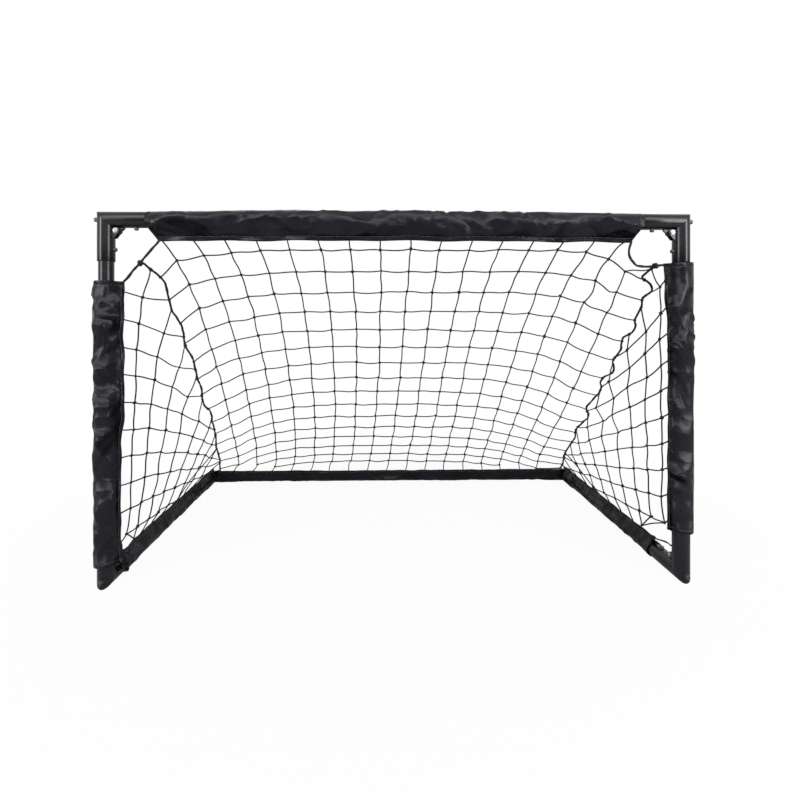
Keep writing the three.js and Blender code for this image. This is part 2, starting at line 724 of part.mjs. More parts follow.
function onSection(run) {
  const held = Math.min(Math.max(run, 0), net_length);
  let i = 1;
  while (i < section_steps && section_run[i] < held) i += 1;
  const share = (held - section_run[i - 1]) / (section_run[i] - section_run[i - 1]);
  return section[i - 1].clone().lerp(section[i], share);
}

function runAtHeight(z) {
  let i = 1;
  while (i < section_steps && section[i].z > z) i += 1;
  const share = (section[i - 1].z - z) / (section[i - 1].z - section[i].z);
  return section_run[i - 1] + (section_run[i] - section_run[i - 1]) * Math.max(share, 0);
}

const net_pitch = (net_length - net_first_row) / (net_rows + 0.65);

function netRun(row, x) {
  const base = net_first_row + net_pitch * row;
  const side = x < 0 ? 0 : 1;
  const rise = Math.sin((Math.PI * base) / (net_length * 1.32)) ** net_drop_rise_power[side];
  const bow = net_drop_edge[side] + net_drop_middle[side] * rise;
  const out = Math.abs(x) / (axis_x * 0.805);
  const top = net_drop_top_power[side] * Math.exp(-base / net_drop_top_reach);
  return base + bow * out ** (net_drop_power[side] + top);
}

// Where a string crosses the net at a run down it: string 0 is the leftmost
function netX(string, run) {
  const at_hem = (string - (net_strings - 2) / 2) * net_string_pitch - net_string_shift;
  const t = Math.min(run / net_length, 1);
  const pinch = 1 - net_pinch_share * (1 - Math.abs(2 * t - 1) ** 6);
  const middle = Math.sin(Math.PI * t);
  const lean = at_hem < 0 ? net_bow[0] * middle ** 2 : -net_bow[1] * middle * (1 - t ** 3);
  const half = axis_x * 0.45;
  const far = Math.max(0, (Math.abs(at_hem) - axis_x * 0.736) / (axis_x * 0.34));
  const out = Math.min(Math.abs(at_hem) / half, 1) - far;
  return at_hem * pinch - net_drift * t * t + lean * out;
}

// Edge ropes lie on that surface. Their routes are [share of the half width between
// the posts' axes, share of the goal's height], from the top corner to the rear one.
const left_rope_shares = [
  [0.845, 0.823], [0.842, 0.801], [0.846, 0.769], [0.846, 0.73], [0.83, 0.7],
  [0.832, 0.669], [0.841, 0.632], [0.829, 0.593], [0.829, 0.559], [0.836, 0.516],
  [0.833, 0.482], [0.847, 0.439], [0.847, 0.405], [0.833, 0.383], [0.84, 0.354],
  [0.849, 0.307], [0.859, 0.266], [0.879, 0.222], [0.889, 0.175], [0.906, 0.124],
  [0.928, 0.084], [0.936, 0.067],
];
const right_rope_shares = [
  [0.921, 0.832], [0.958, 0.803], [0.939, 0.779], [0.947, 0.75], [0.941, 0.705],
  [0.96, 0.682], [0.921, 0.652], [0.934, 0.614], [0.92, 0.579], [0.942, 0.538],
  [0.904, 0.51], [0.923, 0.468], [0.911, 0.434], [0.896, 0.395], [0.927, 0.354],
  [0.91, 0.324], [0.899, 0.291], [0.918, 0.248], [0.913, 0.212], [0.915, 0.164],
  [0.936, 0.111], [0.948, 0.08], [0.95, 0.067],
];

function rope(name, points, steps, radius) {
  const curve = new THREE.CatmullRomCurve3(points, false, 'centripetal');
  const outline = new THREE.Shape();
  for (let k = 0; k <= rope_sides; k += 1) {
    const angle = (k / rope_sides) * Math.PI * 2;
    const [u, v] = [radius * Math.cos(angle), radius * Math.sin(angle)];
    if (k === 0) outline.moveTo(u, v);
    else outline.lineTo(u, v);
  }
  const tube = new THREE.ExtrudeGeometry(outline, { steps, extrudePath: curve });
  addMesh(name, toGeometry(toSolid(tube)), cord);
  return curve.getSpacedPoints(steps);
}

// Corner ropes: the left one is tight, the right one hangs slack
const crossbar_corner = (side) => {
  const end = side < 0 ? crossbar_hem_inset : crossbar_plan.length - crossbar_hem_inset;
  return hemTip(crossbar_plan, end, rope_gap);
};
const left_corner_start = along(crossbar_corner(-1), X, -rope_gap);
const left_post = post_plans.get(-1);
const left_corner_end = along(hemTip(left_post, left_post.length, rope_radius / 2), Z,
  rope_radius * 0.8 + rope_gap);
const left_corner_shares = [0.36, 0.72];
const left_corner_points = [left_corner_start,
  ...left_corner_shares.map((t) => left_corner_start.clone().lerp(left_corner_end, t)),
  left_corner_end];
rope('left_corner_rope', left_corner_points, corner_rope_steps, rope_radius);

const right_post = post_plans.get(1);
const right_corner_start = along(crossbar_corner(1), down, rope_radius / 2);
const right_corner_end = hemTip(right_post, right_post.length - rope_radius * 1.5, rope_gap * 2);
const slack_shares = [
  [-0.06, 0.42], [0.02, 0.74], [0.14, 0.98], [0.34, 1.07], [0.74, 1.04],
];
const slack_points = slack_shares.map(([across, fall]) => vec(
  right_corner_start.x + (right_corner_end.x - right_corner_start.x) * across,
  right_corner_start.y + (right_corner_end.y - right_corner_start.y) * across,
  right_corner_start.z + (right_corner_end.z - right_corner_start.z) * fall));
rope('right_corner_rope', [right_corner_start, ...slack_points, right_corner_end],
  corner_rope_steps, rope_radius);

const rope_lines = new Map();
const corner_junctions = new Map([
  [-1, left_corner_start.clone().lerp(left_corner_end, 0.52)],
  [1, slack_points[slack_points.length - 1].clone()],
]);
for (const [side, label] of side_names) {
  const shares = side < 0 ? left_rope_shares : right_rope_shares;
  const route = shares.map(([out, up]) => {
    const point = onSection(runAtHeight(up * goal_height));
    point.x = side * out * axis_x;
    return point;
  });
  const knot = corner_junctions.get(side);
  const leave = route[0].clone().sub(knot).normalize();
  const start = along(knot, leave, rope_radius * 2 + rope_gap);
  rope_lines.set(side, rope(`${label}_edge_rope`, [start, ...route], edge_rope_steps, rope_radius));
}

// Nearest point of an edge rope's centre line
function nearestOnRope(side, point) {
  const line = rope_lines.get(side);
  let best = null;
  const segment = new THREE.Line3();
  const hit = new THREE.Vector3();
  for (let i = 1; i < line.length; i += 1) {
    segment.set(line[i - 1], line[i]);
    segment.closestPointToPoint(point, true, hit);
    const distance = hit.distanceTo(point);
    if (!best || distance < best.distance) best = { distance, point: hit.clone() };
  }
  return best;
}

// Where a string from `point` towards `aim` on the rope ends, clear of the rope
function endAtRope(side, point, aim) {
  const way = point.clone().sub(aim).normalize();
  const clear = rope_radius + string_gap;
  let end = along(aim, way, clear);
  for (let i = 0; i < 24 && nearestOnRope(side, end).distance < clear; i += 1) {
    end = along(end, way, rope_gap);
  }
  return end;
}

// A lattice of square twine: knots are small cubes, strings join their faces
class Lattice {
  constructor() {
    this.knots = new Map();
    this.points = [];
    this.index = [];
  }

  key(i, j) {
    return `${i},${j}`;
  }

  add(i, j, point) {
    this.knots.set(this.key(i, j), { i, j, point, ends: new Map() });
  }

  get(i, j) {
    return this.knots.get(this.key(i, j));
  }

  // a loose end that runs from a knot's face to a point: face is one of 'E' 'W' 'N' 'S'
  end(i, j, face, point) {
    const knot = this.get(i, j);
    if (knot) knot.ends.set(face, point);
  }

  quad(a, b, c, d) {
    this.index.push(a, b, c, a, c, d);
  }

  push(point) {
    this.points.push(point.x, point.y, point.z);
    return this.points.length / 3 - 1;
  }

  build() {
    const half = twine / 2;
    for (const knot of this.knots.values()) {
      const east = this.get(knot.i + 1, knot.j)?.point ?? knot.ends.get('E');
      const west = this.get(knot.i - 1, knot.j)?.point ?? knot.ends.get('W');
      const north = this.get(knot.i, knot.j - 1)?.point ?? knot.ends.get('N');
      const south = this.get(knot.i, knot.j + 1)?.point ?? knot.ends.get('S');
      const u = (east ?? knot.point).clone().sub(west ?? knot.point);
      const v = (south ?? knot.point).clone().sub(north ?? knot.point);
      const w = new THREE.Vector3().crossVectors(u, v).normalize();
      u.normalize();
      v.crossVectors(w, u).normalize();
      Object.assign(knot, { u, v, w });
      // corners are numbered by the signs of u, v and w
      knot.corner = (su, sv, sw) => knot.at[(su > 0 ? 4 : 0) + (sv > 0 ? 2 : 0) + (sw > 0 ? 1 : 0)];
      knot.at = [];
      for (const su of [-1, 1]) {
        for (const sv of [-1, 1]) {
          for (const sw of [-1, 1]) {
            const p = along(along(along(knot.point, u, su * half), v, sv * half), w, sw * half);
            knot.at.push(this.push(p));
          }
        }
      }
    }
    // each face's corners run the same way round when they are seen along +u or +v
    const square = [[-1, -1], [1, -1], [1, 1], [-1, 1]];
    const faces = {
      E: { step: [1, 0], ring: (k) => square.map(([a, b]) => k.corner(1, a, b)) },
      W: { step: [-1, 0], ring: (k) => square.map(([a, b]) => k.corner(-1, a, b)) },
      S: { step: [0, 1], ring: (k) => square.map(([a, b]) => k.corner(a, 1, b)) },
      N: { step: [0, -1], ring: (k) => square.map(([a, b]) => k.corner(a, -1, b)) },
    };
    const opposite = { E: 'W', W: 'E', N: 'S', S: 'N' };
    for (const knot of this.knots.values()) {
      const { corner: c } = knot;
      this.quad(c(-1, -1, 1), c(1, -1, 1), c(1, 1, 1), c(-1, 1, 1));
      this.quad(c(-1, 1, -1), c(1, 1, -1), c(1, -1, -1), c(-1, -1, -1));
      for (const [face, { step, ring }] of Object.entries(faces)) {
        const here = ring(knot);
        const other = this.get(knot.i + step[0], knot.j + step[1]);
        const outwards = face === 'E' || face === 'N' ? here : [...here].reverse();
        if (other) {
          if (face === 'E' || face === 'S') {
            const there = faces[opposite[face]].ring(other);
            const far = face === 'E' ? there : [...there].reverse();
            this.bridge(outwards, far);
          }
        } else if (knot.ends.has(face)) {
          const tip = knot.ends.get(face);
          const way = tip.clone().sub(knot.point).normalize();
          const cross = (face === 'E' || face === 'W' ? knot.v : knot.u).clone();
          cross.addScaledVector(way, -cross.dot(way)).normalize();
          const lift = knot.w.clone().addScaledVector(way, -knot.w.dot(way));
          lift.addScaledVector(cross, -lift.dot(cross)).normalize();
          const made = [[-1, -1], [1, -1], [1, 1], [-1, 1]].map(([a, b]) => this.push(
            along(along(tip, cross, a * half), lift, b * half)));
          const far = face === 'E' || face === 'N' ? made : made.reverse();
          this.bridge(outwards, far);
          this.quad(...far);
        } else {
          this.quad(...outwards);
        }
      }
    }
    const geometry = new THREE.BufferGeometry();
    geometry.setAttribute('position', new THREE.Float32BufferAttribute(this.points, 3));
    geometry.setIndex(this.index);
    return geometry;
  }

  // sides of a string between two rings that run the same way round, seen from outside
  bridge(near, far) {
    for (let k = 0; k < 4; k += 1) {
      const m = (k + 1) % 4;
      this.quad(near[k], near[m], far[m], far[k]);
    }
  }
}

// Back net

const hem_limit = net_length - net_end;
const main = new Lattice();
for (let string = 0; string < net_strings; string += 1) {
  for (let row = 0; row < net_rows; row += 1) {
    const guess = netX(string, net_first_row + net_pitch * row);
    const x = netX(string, netRun(row, guess));
    const run = netRun(row, x);
    const last_string = string === net_strings - 1;
    const point = onSection(run);
    point.x = x;
    const room = last_string ? nearestOnRope(1, point).distance > side_knot_room : true;
    if (run < net_length - side_knot_room && !(last_string && !room)) {
      main.add(string, row, point);
    }
  }
}
for (const knot of main.knots.values()) {
  const { i, j, point } = knot;
  if (!main.get(i, j - 1)) {
    if (i < net_strings - 1) {
      const at = (i - (net_strings - 2) / 2) * net_string_pitch - net_string_shift;
      const start = crossbar_plan.start.x;
      main.end(i, j, 'N', hemTip(crossbar_plan, at - start, net_end));
    } else {
      const aim = nearestOnRope(1, along(point, Z, side_mesh * 0.8)).point;
      main.end(i, j, 'N', endAtRope(1, point, aim));
    }
  }
  if (!main.get(i, j + 1)) {
    const x = netX(i, net_length);
    const distance = x - back_plan.start.x;
    main.end(i, j, 'S', hemTip(back_plan, distance, net_end));
  }
  for (const [side, step, face] of [[-1, -1, 'W'], [1, 1, 'E']]) {
    if (!main.get(i + step, j) && (side < 0 ? i === 0 : i >= net_strings - 2)) {
      const last = runAtHeight(point.z) + net_last_drop[side < 0 ? 0 : 1];
      const target = onSection(Math.min(last, hem_limit));
      target.x = side * axis_x * (side < 0 ? 0.85 : 0.925);
      const aim = nearestOnRope(side, target).point;
      if (aim.distanceTo(point) > side_knot_room) main.end(i, j, face, endAtRope(side, point, aim));
    }
  }
}
addMesh('main_net', main.build(), cord);

// Side nets: ruled between the post's hem, the ground tube's hem and the edge rope

function ropeAtHeight(side, z) {
  const line = rope_lines.get(side);
  for (let i = 1; i < line.length; i += 1) {
    if (line[i].z <= z) {
      const share = (line[i - 1].z - z) / (line[i - 1].z - line[i].z || 1);
      return line[i - 1].clone().lerp(line[i], Math.min(Math.max(share, 0), 1));
    }
  }
  return line[line.length - 1].clone();
}

for (const [side, label] of side_names) {
  const which = side < 0 ? 0 : 1;
  const post_plan = post_plans.get(side);
  const ground_plan = ground_plans.get(side);
  const first = side_first_column[which];
  const post_high = post_plan.start.z + post_plan.length;
  const lattice = new Lattice();
  const columnY = (column, z) => {
    const rope_y = Math.max(ropeAtHeight(side, z).y, side_mesh * 2);
    const loose = side_column_shares[which];
    let y = first;
    for (let i = 0; i < 4; i += 1) {
      y = first + column * side_mesh * (loose + (1 - loose) * Math.min(y / rope_y, 1.2));
    }
    return y;
  };
  const knotPoint = (column, row) => {
    const at_post = side_lowest_row[which] + side_row_pitch * row;
    let z = at_post;
    let y = first;
    for (let i = 0; i < 4; i += 1) {
      y = columnY(column, z);
      const reach = Math.max(y - first, 0) / side_drop_reach;
      z = at_post * (1 - side_drop_shares[which] * reach ** side_drop_power[which]);
    }
    const at_rope = ropeAtHeight(side, z);
    const held = Math.min(Math.max(z - post_plan.start.z, 0), post_plan.length);
    const post_tip = hemTip(post_plan, held);
    const share = (y - post_tip.y) / Math.max(at_rope.y - post_tip.y, side_mesh);
    const hem = hemTip(ground_plan, y - ground_plan.start.y);
    const near_floor = Math.max(0, 1 - (z - hem.z) / (side_mesh * 2)) * 0.6;
    const x = (post_tip.x * (1 - share) + at_rope.x * share) * (1 - near_floor)
      + hem.x * near_floor;
    return { point: vec(x, y, z), inside: y < at_rope.y - side_knot_room,
      high: z > hem.z + side_knot_room * 0.7 };
  };
  const columns = Math.ceil(frame_depth / side_mesh);
  const rows = Math.ceil(goal_height / side_mesh);
  let highest = 0;
  for (let column = 0; column < columns; column += 1) {
    for (let row = 0; row < rows; row += 1) {
      const { point, inside, high } = knotPoint(column, row);
      const clear = nearestOnRope(side, point).distance > side_knot_room;
      const under = point.z < post_high - side_knot_room;
      if (inside && high && clear && under) {
        lattice.add(column, row, point);
        highest = Math.max(highest, row);
      }
    }
  }
  // rows count upwards here, so north is the floor's side
  for (const { i, j, point } of lattice.knots.values()) {
    if (i === 0) {
      const [low, high] = side_row_lift[which];
      const lift = point.z + low + ((high - low) * j) / highest;
      const z = Math.min(Math.max(lift, post_plan.start.z + rope_radius), post_high - twine);
      const edge = hemTip(post_plan, z - post_plan.start.z, -hem_half);
      lattice.end(i, j, 'W', along(edge, Y, hem_half + net_end));
    }
    if (!lattice.get(i, j - 1)) {
      const distance = Math.max(point.y - ground_plan.start.y, hem_taper + twine);
      const hem = hemTip(ground_plan, distance, net_end);
      lattice.end(i, j, 'N', hem);
    }
    if (!lattice.get(i + 1, j)) {
      const { point: beyond } = knotPoint(i + 1, j);
      const aim = nearestOnRope(side, beyond.lerp(point, 0.35)).point;
      lattice.end(i, j, 'E', endAtRope(side, point, aim));
    }
    if (!lattice.get(i, j + 1)) {
      const aim = nearestOnRope(side, along(point, Z, side_mesh * 0.9)).point;
      lattice.end(i, j, 'S', endAtRope(side, point, aim));
    }
  }
  addMesh(`${label}_side_net`, lattice.build(), cord);
}

// Foot ties: cords that hold the net's lower front corners to the feet

const left_foot = foot_corner(-1);
const left_tie_shares = [
  [0.62, 0.585, 3.2], [0.66, 0.8, 2.5], [0.5, 1.05, 1.9], [0.36, 1.35, 1.2], [0.4, 1.9, 0.5],
  [0.62, 1.75, -0.1], [0.5, 1.2, 0.15], [0.42, 0.9, 0.9], [0.7, 1.2, 1.55], [0.85, 1.7, 1.5],
];
const tie_reach = leg_radius + tie_radius + rope_gap;
const left_tie = left_tie_shares.map(([out, back, up]) => vec(
  left_foot.x + tie_reach + out * leg_radius,
  back * leg_radius,
  left_foot.z + up * leg_radius));
rope('left_foot_tie', left_tie, left_tie_steps, tie_radius);

const right_foot = foot_corner(1);
const right_plan = ground_plans.get(1);
const tie_from = along(hemTip(right_plan, 0, -hem_half), front, rope_gap * 2.5);
// [inwards, back and up] from the foot's corner and from the hem, over the leg's radius
const right_tie_shares = [[0.42, 3.6, 0.06], [0.53, 2, 0.08], [0.62, 1.1, 0.06]];
const right_tie = [tie_from, ...right_tie_shares.map(([inner, back, up]) => vec(
  right_foot.x - inner * leg_radius, back * leg_radius, tie_from.z + up * leg_radius))];
rope('right_foot_tie', right_tie, right_tie_steps, tie_radius);

// The origin: the middle of the footprint, on the floor
goal.updateMatrixWorld(true);
const box = new THREE.Box3().setFromObject(goal);
goal.position.set(-(box.min.x + box.max.x) / 2, -(box.min.y + box.max.y) / 2, -box.min.z);
goal.updateMatrixWorld(true);

export default goal;
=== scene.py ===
"""The looks of a folding floorball goal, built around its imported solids.

Metres, in the row frame: +X along the crossbar, +Y from the mouth into the goal, +Z up.
"""

import json
import logging
import math
import random
from dataclasses import dataclass, field
from enum import Enum
from itertools import accumulate
from typing import Any, Iterable, NamedTuple, Protocol, Sequence

import bmesh
import bpy
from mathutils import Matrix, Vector, noise

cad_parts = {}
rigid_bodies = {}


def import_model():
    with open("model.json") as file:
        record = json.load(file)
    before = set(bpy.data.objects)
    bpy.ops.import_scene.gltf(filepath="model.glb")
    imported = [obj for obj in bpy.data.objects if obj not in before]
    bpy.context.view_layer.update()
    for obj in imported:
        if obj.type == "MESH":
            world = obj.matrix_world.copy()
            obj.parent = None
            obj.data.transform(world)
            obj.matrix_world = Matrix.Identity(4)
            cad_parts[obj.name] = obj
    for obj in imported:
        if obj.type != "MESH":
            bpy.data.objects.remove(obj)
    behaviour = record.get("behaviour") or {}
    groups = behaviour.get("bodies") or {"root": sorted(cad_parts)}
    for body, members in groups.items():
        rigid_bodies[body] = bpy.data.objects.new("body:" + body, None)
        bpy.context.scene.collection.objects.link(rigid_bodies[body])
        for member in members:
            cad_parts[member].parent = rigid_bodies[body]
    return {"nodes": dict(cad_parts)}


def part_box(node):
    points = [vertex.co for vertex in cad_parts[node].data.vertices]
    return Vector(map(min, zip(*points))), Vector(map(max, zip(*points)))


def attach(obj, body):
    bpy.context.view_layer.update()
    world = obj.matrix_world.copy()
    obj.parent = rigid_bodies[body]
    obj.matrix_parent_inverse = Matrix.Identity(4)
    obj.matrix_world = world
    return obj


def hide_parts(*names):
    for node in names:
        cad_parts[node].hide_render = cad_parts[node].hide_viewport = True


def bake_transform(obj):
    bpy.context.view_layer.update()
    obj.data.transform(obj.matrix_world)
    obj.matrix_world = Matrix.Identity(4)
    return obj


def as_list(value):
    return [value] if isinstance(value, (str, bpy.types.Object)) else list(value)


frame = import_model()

log = logging.getLogger("goal")
MM = 0.001
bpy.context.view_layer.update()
X, Y, Z = Vector((1, 0, 0)), Vector((0, 1, 0)), Vector((0, 0, 1))
ORIGIN = Vector((0, 0, 0))


class Side(Enum):
    """The goal's two sides, as seen from the mouth."""

    LEFT = -1
    RIGHT = 1

    @property
    def label(self) -> str:
        """The word that starts this side's names."""
        return self.name.lower()

    @property
    def inward(self) -> Vector:
        """The direction from this side to the middle of the goal."""
        return Vector((-self.value, 0, 0))


class Body(Enum):
    """The two folding frames that carry everything but the buttons and pins."""

    BASE = "base_frame"
    FRONT = "front_frame"


class Slot(Enum):
    """The record's material slots."""

    POWDER = "powder_coat"
    ZINC = "zinc"
    STEEL = "dark_steel"
    NYLON = "nylon"
    ROPE = "rope"
    TWINE = "twine"


def middle_of(node: str) -> Vector:
    """The middle of a solid's box."""
    low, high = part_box(node)
    return (low + high) / 2


@dataclass(frozen=True)
class Plan:
    """Where the frame's axes run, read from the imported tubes."""

    post_x: float
    front_y: float
    back_y: float
    ground_z: float
    bar_z: float

    @classmethod
    def from_solids(cls) -> "Plan":
        """Reads the axes from the tubes' boxes.

        Returns:
            The plan.
        """
        post = middle_of("right_post_tube")
        bar = middle_of("crossbar_tube")
        back = middle_of("back_tube")
        return cls(post.x, post.y, back.y, back.z, bar.z)

    def foot(self, side: Side) -> Vector:
        """The corner where a post meets its ground tube."""
        return Vector((side.value * self.post_x, self.front_y, self.ground_z))

    def top(self, side: Side) -> Vector:
        """The corner where a post meets the crossbar."""
        return Vector((side.value * self.post_x, self.front_y, self.bar_z))

    def rear(self, side: Side) -> Vector:
        """The corner where a ground tube meets the back tube."""
        return Vector((side.value * self.post_x, self.back_y, self.ground_z))


PLAN = Plan.from_solids()


# Shader maths


class Wire:
    """A shader socket whose arithmetic adds Math nodes."""

    def __init__(self, web: "Web", socket: bpy.types.NodeSocket) -> None:
        """Keeps the socket and the web it belongs to."""
        self.web = web
        self.socket = socket

    def maths(self, operation: str, *others: Any) -> "Wire":
        """Adds one Math node.

        Args:
            operation: the node's operation.
            others: the values or wires after this one.
        Returns:
            The node's result.
        """
        values = dict(enumerate((self, *others)))
        return self.web.node("ShaderNodeMath", {"operation": operation}, values)

    def __add__(self, other: Any) -> "Wire":
        """Sum."""
        return self.maths("ADD", other)

    def __sub__(self, other: Any) -> "Wire":
        """Difference."""
        return self.maths("SUBTRACT", other)

    def __mul__(self, other: Any) -> "Wire":
        """Product."""
        return self.maths("MULTIPLY", other)

    def sine(self) -> "Wire":
        """Sine, in radians."""
        return self.maths("SINE")

    def size(self) -> "Wire":
        """Absolute value."""
        return self.maths("ABSOLUTE")

    def held(self, low: float, high: float, start: float = 0.0, end: float = 1.0) -> "Wire":
        """Maps low..high to start..end and holds it there.

        Args:
            low: the value that gives start.
            high: the value that gives end.
            start: the first result.
            end: the last result.
        Returns:
            The held value.
        """
        values = {0: self, 1: low, 2: high, 3: start, 4: end}
        return self.web.node("ShaderNodeMapRange", {"clamp": True}, values)


class Web:
    """One material's nodes, made as they are asked for."""

    def __init__(self, name: str) -> None:
        """Starts an empty material that ends in one Principled shader.

        Args:
            name: the material's name.
        """
        self.material = bpy.data.materials.new(name)
        self.material.use_nodes = True
        self.nodes = self.material.node_tree.nodes
        self.links = self.material.node_tree.links
        self.nodes.clear()
        self.output = self.nodes.new("ShaderNodeOutputMaterial")
        self.shader = self.nodes.new("ShaderNodeBsdfPrincipled")
        self.links.new(self.shader.outputs[0], self.output.inputs[0])

    def node(
        self,
        kind: str,
        settings: dict[str, Any] | None = None,
        values: dict[Any, Any] | None = None,
        out: int | str = 0,
    ) -> Wire:
        """Adds one node.

        Args:
            kind: the node's type.
            settings: its own settings.
            values: socket name or number to a value or a wire.
            out: which output is wanted.
        Returns:
            That output as a wire.
        """
        made = self.nodes.new(kind)
        for key, value in (settings or {}).items():
            setattr(made, key, value)
        for key, value in (values or {}).items():
            self.feed(made.inputs[key], value)
        return Wire(self, made.outputs[out])

    def feed(self, socket: bpy.types.NodeSocket, value: Any) -> None:
        """Sets a socket to a value, or links a wire to it.

        Args:
            socket: the socket.
            value: a value or a wire.
        """
        if isinstance(value, Wire):
            self.links.new(value.socket, socket)
        else:
            socket.default_value = value

    def finished(self, **sockets: Any) -> bpy.types.Material:
        """Feeds the shader's own sockets, Base_Color for Base Color, and gives the material.

        Args:
            sockets: a value or a wire for each, with _ for a blank.
        Returns:
            The material.
        """
        for name, value in sockets.items():
            self.feed(self.shader.inputs[name.replace("_", " ")], value)
        return self.material

    def place(self) -> Wire:
        """Object coordinates."""
        return self.node("ShaderNodeTexCoord", out="Object")

    def stretched(self, vector: Wire, scale: tuple[float, float, float]) -> Wire:
        """Coordinates scaled along each axis."""
        return self.node("ShaderNodeMapping", {}, {"Vector": vector, "Scale": scale})

    def grain(self, vector: Wire, scale: float, detail: float = 2.0, rough: float = 0.5) -> Wire:
        """Noise from 0 to 1.

        Args:
            vector: where it is read.
            scale: how fine it is, per metre.
            detail: its octaves.
            rough: how strong the finer octaves are.
        Returns:
            The noise's factor.
        """
        values = {"Vector": vector, "Scale": scale, "Detail": detail, "Roughness": rough}
        return self.node("ShaderNodeTexNoise", {}, values)

    def laid(self, lay: float, strands: int) -> tuple[Wire, Wire]:
        """The turns of a cord's strands along it and around it, as two angles.

        Args:
            lay: the length in which a strand goes round once.
            strands: how many there are.
        Returns:
            The angle that grows along the cord and the one that grows around it.
        """
        along, around = (
            self.node("ShaderNodeAttribute", {"attribute_name": name}, out="Fac")
            for name in ("along", "around")
        )
        return along * (2 * math.pi / lay), around * (2 * math.pi * strands)

    def mixed(self, factor: Wire, low: Sequence[float], high: Sequence[float]) -> Wire:
        """A colour between two colours."""
        values = {0: factor, 6: (*low, 1.0), 7: (*high, 1.0)}
        return self.node("ShaderNodeMix", {"data_type": "RGBA"}, values, out=2)

    def raised(
        self, height: Wire, depth: float, strength: float, under: Wire | None = None
    ) -> Wire:
        """A bump.

        Args:
            height: from 0 to 1.
            depth: what 1 is, in metres.
            strength: how much of it shows.
            under: a coarser bump that it lies on.
        Returns:
            The bumped normal.
        """
        values: dict[str, Any] = {"Height": height, "Distance": depth, "Strength": strength}
        if under is not None:
            values["Normal"] = under
        return self.node("ShaderNodeBump", {}, values)


class Recipe(Protocol):
    """Anything that makes a material."""

    def make(self) -> bpy.types.Material:
        """Builds the material."""


@dataclass(frozen=True)
class PowderCoat:
    """Black semi-gloss powder coat with its fine orange peel and a few scuffs."""

    name: str = "black_powder_coat"
    colour: tuple[float, float, float] = (0.0035, 0.0036, 0.0055)
    scuffed: tuple[float, float, float] = (0.02, 0.02, 0.022)
    roughness: tuple[float, float] = (0.22, 0.27)
    peel: float = 0.00001

    def make(self) -> bpy.types.Material:
        """Builds the material.

        Returns:
            The material.
        """
        web = Web(self.name)
        place = web.place()
        scuffs = web.grain(place, 34, 6, 0.7).held(0.62, 0.74)
        streaks = web.grain(web.stretched(place, (180, 180, 12)), 1, 3).held(0.66, 0.8)
        wear = (scuffs * 0.35 + streaks * 0.2).held(0, 1)
        cloud = web.grain(place, 9, 3)
        return web.finished(
            Base_Color=web.mixed(wear, self.colour, self.scuffed),
            Roughness=cloud.held(0.3, 0.7, *self.roughness) + wear * 0.2,
            Normal=web.raised(web.grain(place, 900, 1), self.peel, 0.12),
            Specular_IOR_Level=0.28,
        )


@dataclass(frozen=True)
class CoatedNylon:
    """Charcoal nylon: plain weave, slanted folds and crumple, low sheen and faded patches."""

    name: str = "charcoal_nylon"
    colour: tuple[float, float, float] = (0.0028, 0.0028, 0.0048)
    faded: tuple[float, float, float] = (0.008, 0.008, 0.013)
    roughness: tuple[float, float] = (0.25, 0.34)
    thread: float = 0.0009
    weave_depth: float = 0.00012
    fold_depth: float = 0.052
    fold_scales: tuple[float, float] = (13.0, 27.0)
    warp: float = 0.045
    lean: tuple[float, float, float] = (0.3, 0.75, 0.2)
    squash: tuple[float, float, float] = (0.55, 1.0, 1.15)

    def folds(self, web: Web, place: Wire) -> Wire:
        """Slanted folds in two sizes, strong in some zones and faint in others.

        Args:
            web: the material's nodes.
            place: where they are read.
        Returns:
            Their height, from 0 to about 1.
        """
        values = {"Vector": place, "Scale": 9.0, "Detail": 1.0}
        drift = web.node("ShaderNodeTexNoise", {}, values, out="Color")
        values = {0: drift, 1: (self.warp,) * 3, 2: place}
        warped = web.node("ShaderNodeVectorMath", {"operation": "MULTIPLY_ADD"}, values)
        values = {"Vector": warped, "Rotation": self.lean, "Scale": self.squash}
        slanted = web.node("ShaderNodeMapping", {}, values)
        wide, narrow = (
            web.node("ShaderNodeTexVoronoi", {}, {"Vector": slanted, "Scale": scale})
            for scale in self.fold_scales
        )
        return (wide * 0.8 + narrow * 0.2) * web.grain(place, 7, 2).held(0.42, 0.6, 0.3, 1.0)

    def make(self) -> bpy.types.Material:
        """Builds the material.

        Returns:
            The material.
        """
        web = Web(self.name)
        place = web.place()
        flat = web.node("ShaderNodeUVMap", {"uv_map": "cloth"})
        along = web.node("ShaderNodeSeparateXYZ", {}, {0: flat})
        across = Wire(web, along.socket.node.outputs[1])
        turns = 2 * math.pi / self.thread
        weave = (along * turns).sine() * (across * turns).sine() * 0.5 + 0.5
        slub = web.grain(web.stretched(flat, (60, 900, 1)), 1, 2)
        crumple = web.grain(place, 46, 5, 0.62)
        small = web.grain(place, 150, 3, 0.6)
        patch = web.grain(place, 11, 4)
        fade = (patch.held(0.35, 0.75) * 0.7 + small.held(0.4, 0.7) * 0.3).held(0, 1)
        relief = self.folds(web, place) * 0.975 + crumple * 0.025
        coarse = web.raised(relief, self.fold_depth, 0.9)
        return web.finished(
            Base_Color=web.mixed(fade, self.colour, self.faded),
            Roughness=patch.held(0.3, 0.7, *self.roughness) + small * 0.05,
            Normal=web.raised(weave * 0.6 + slub * 0.4, self.weave_depth, 0.5, coarse),
            Specular_IOR_Level=0.17,
        )


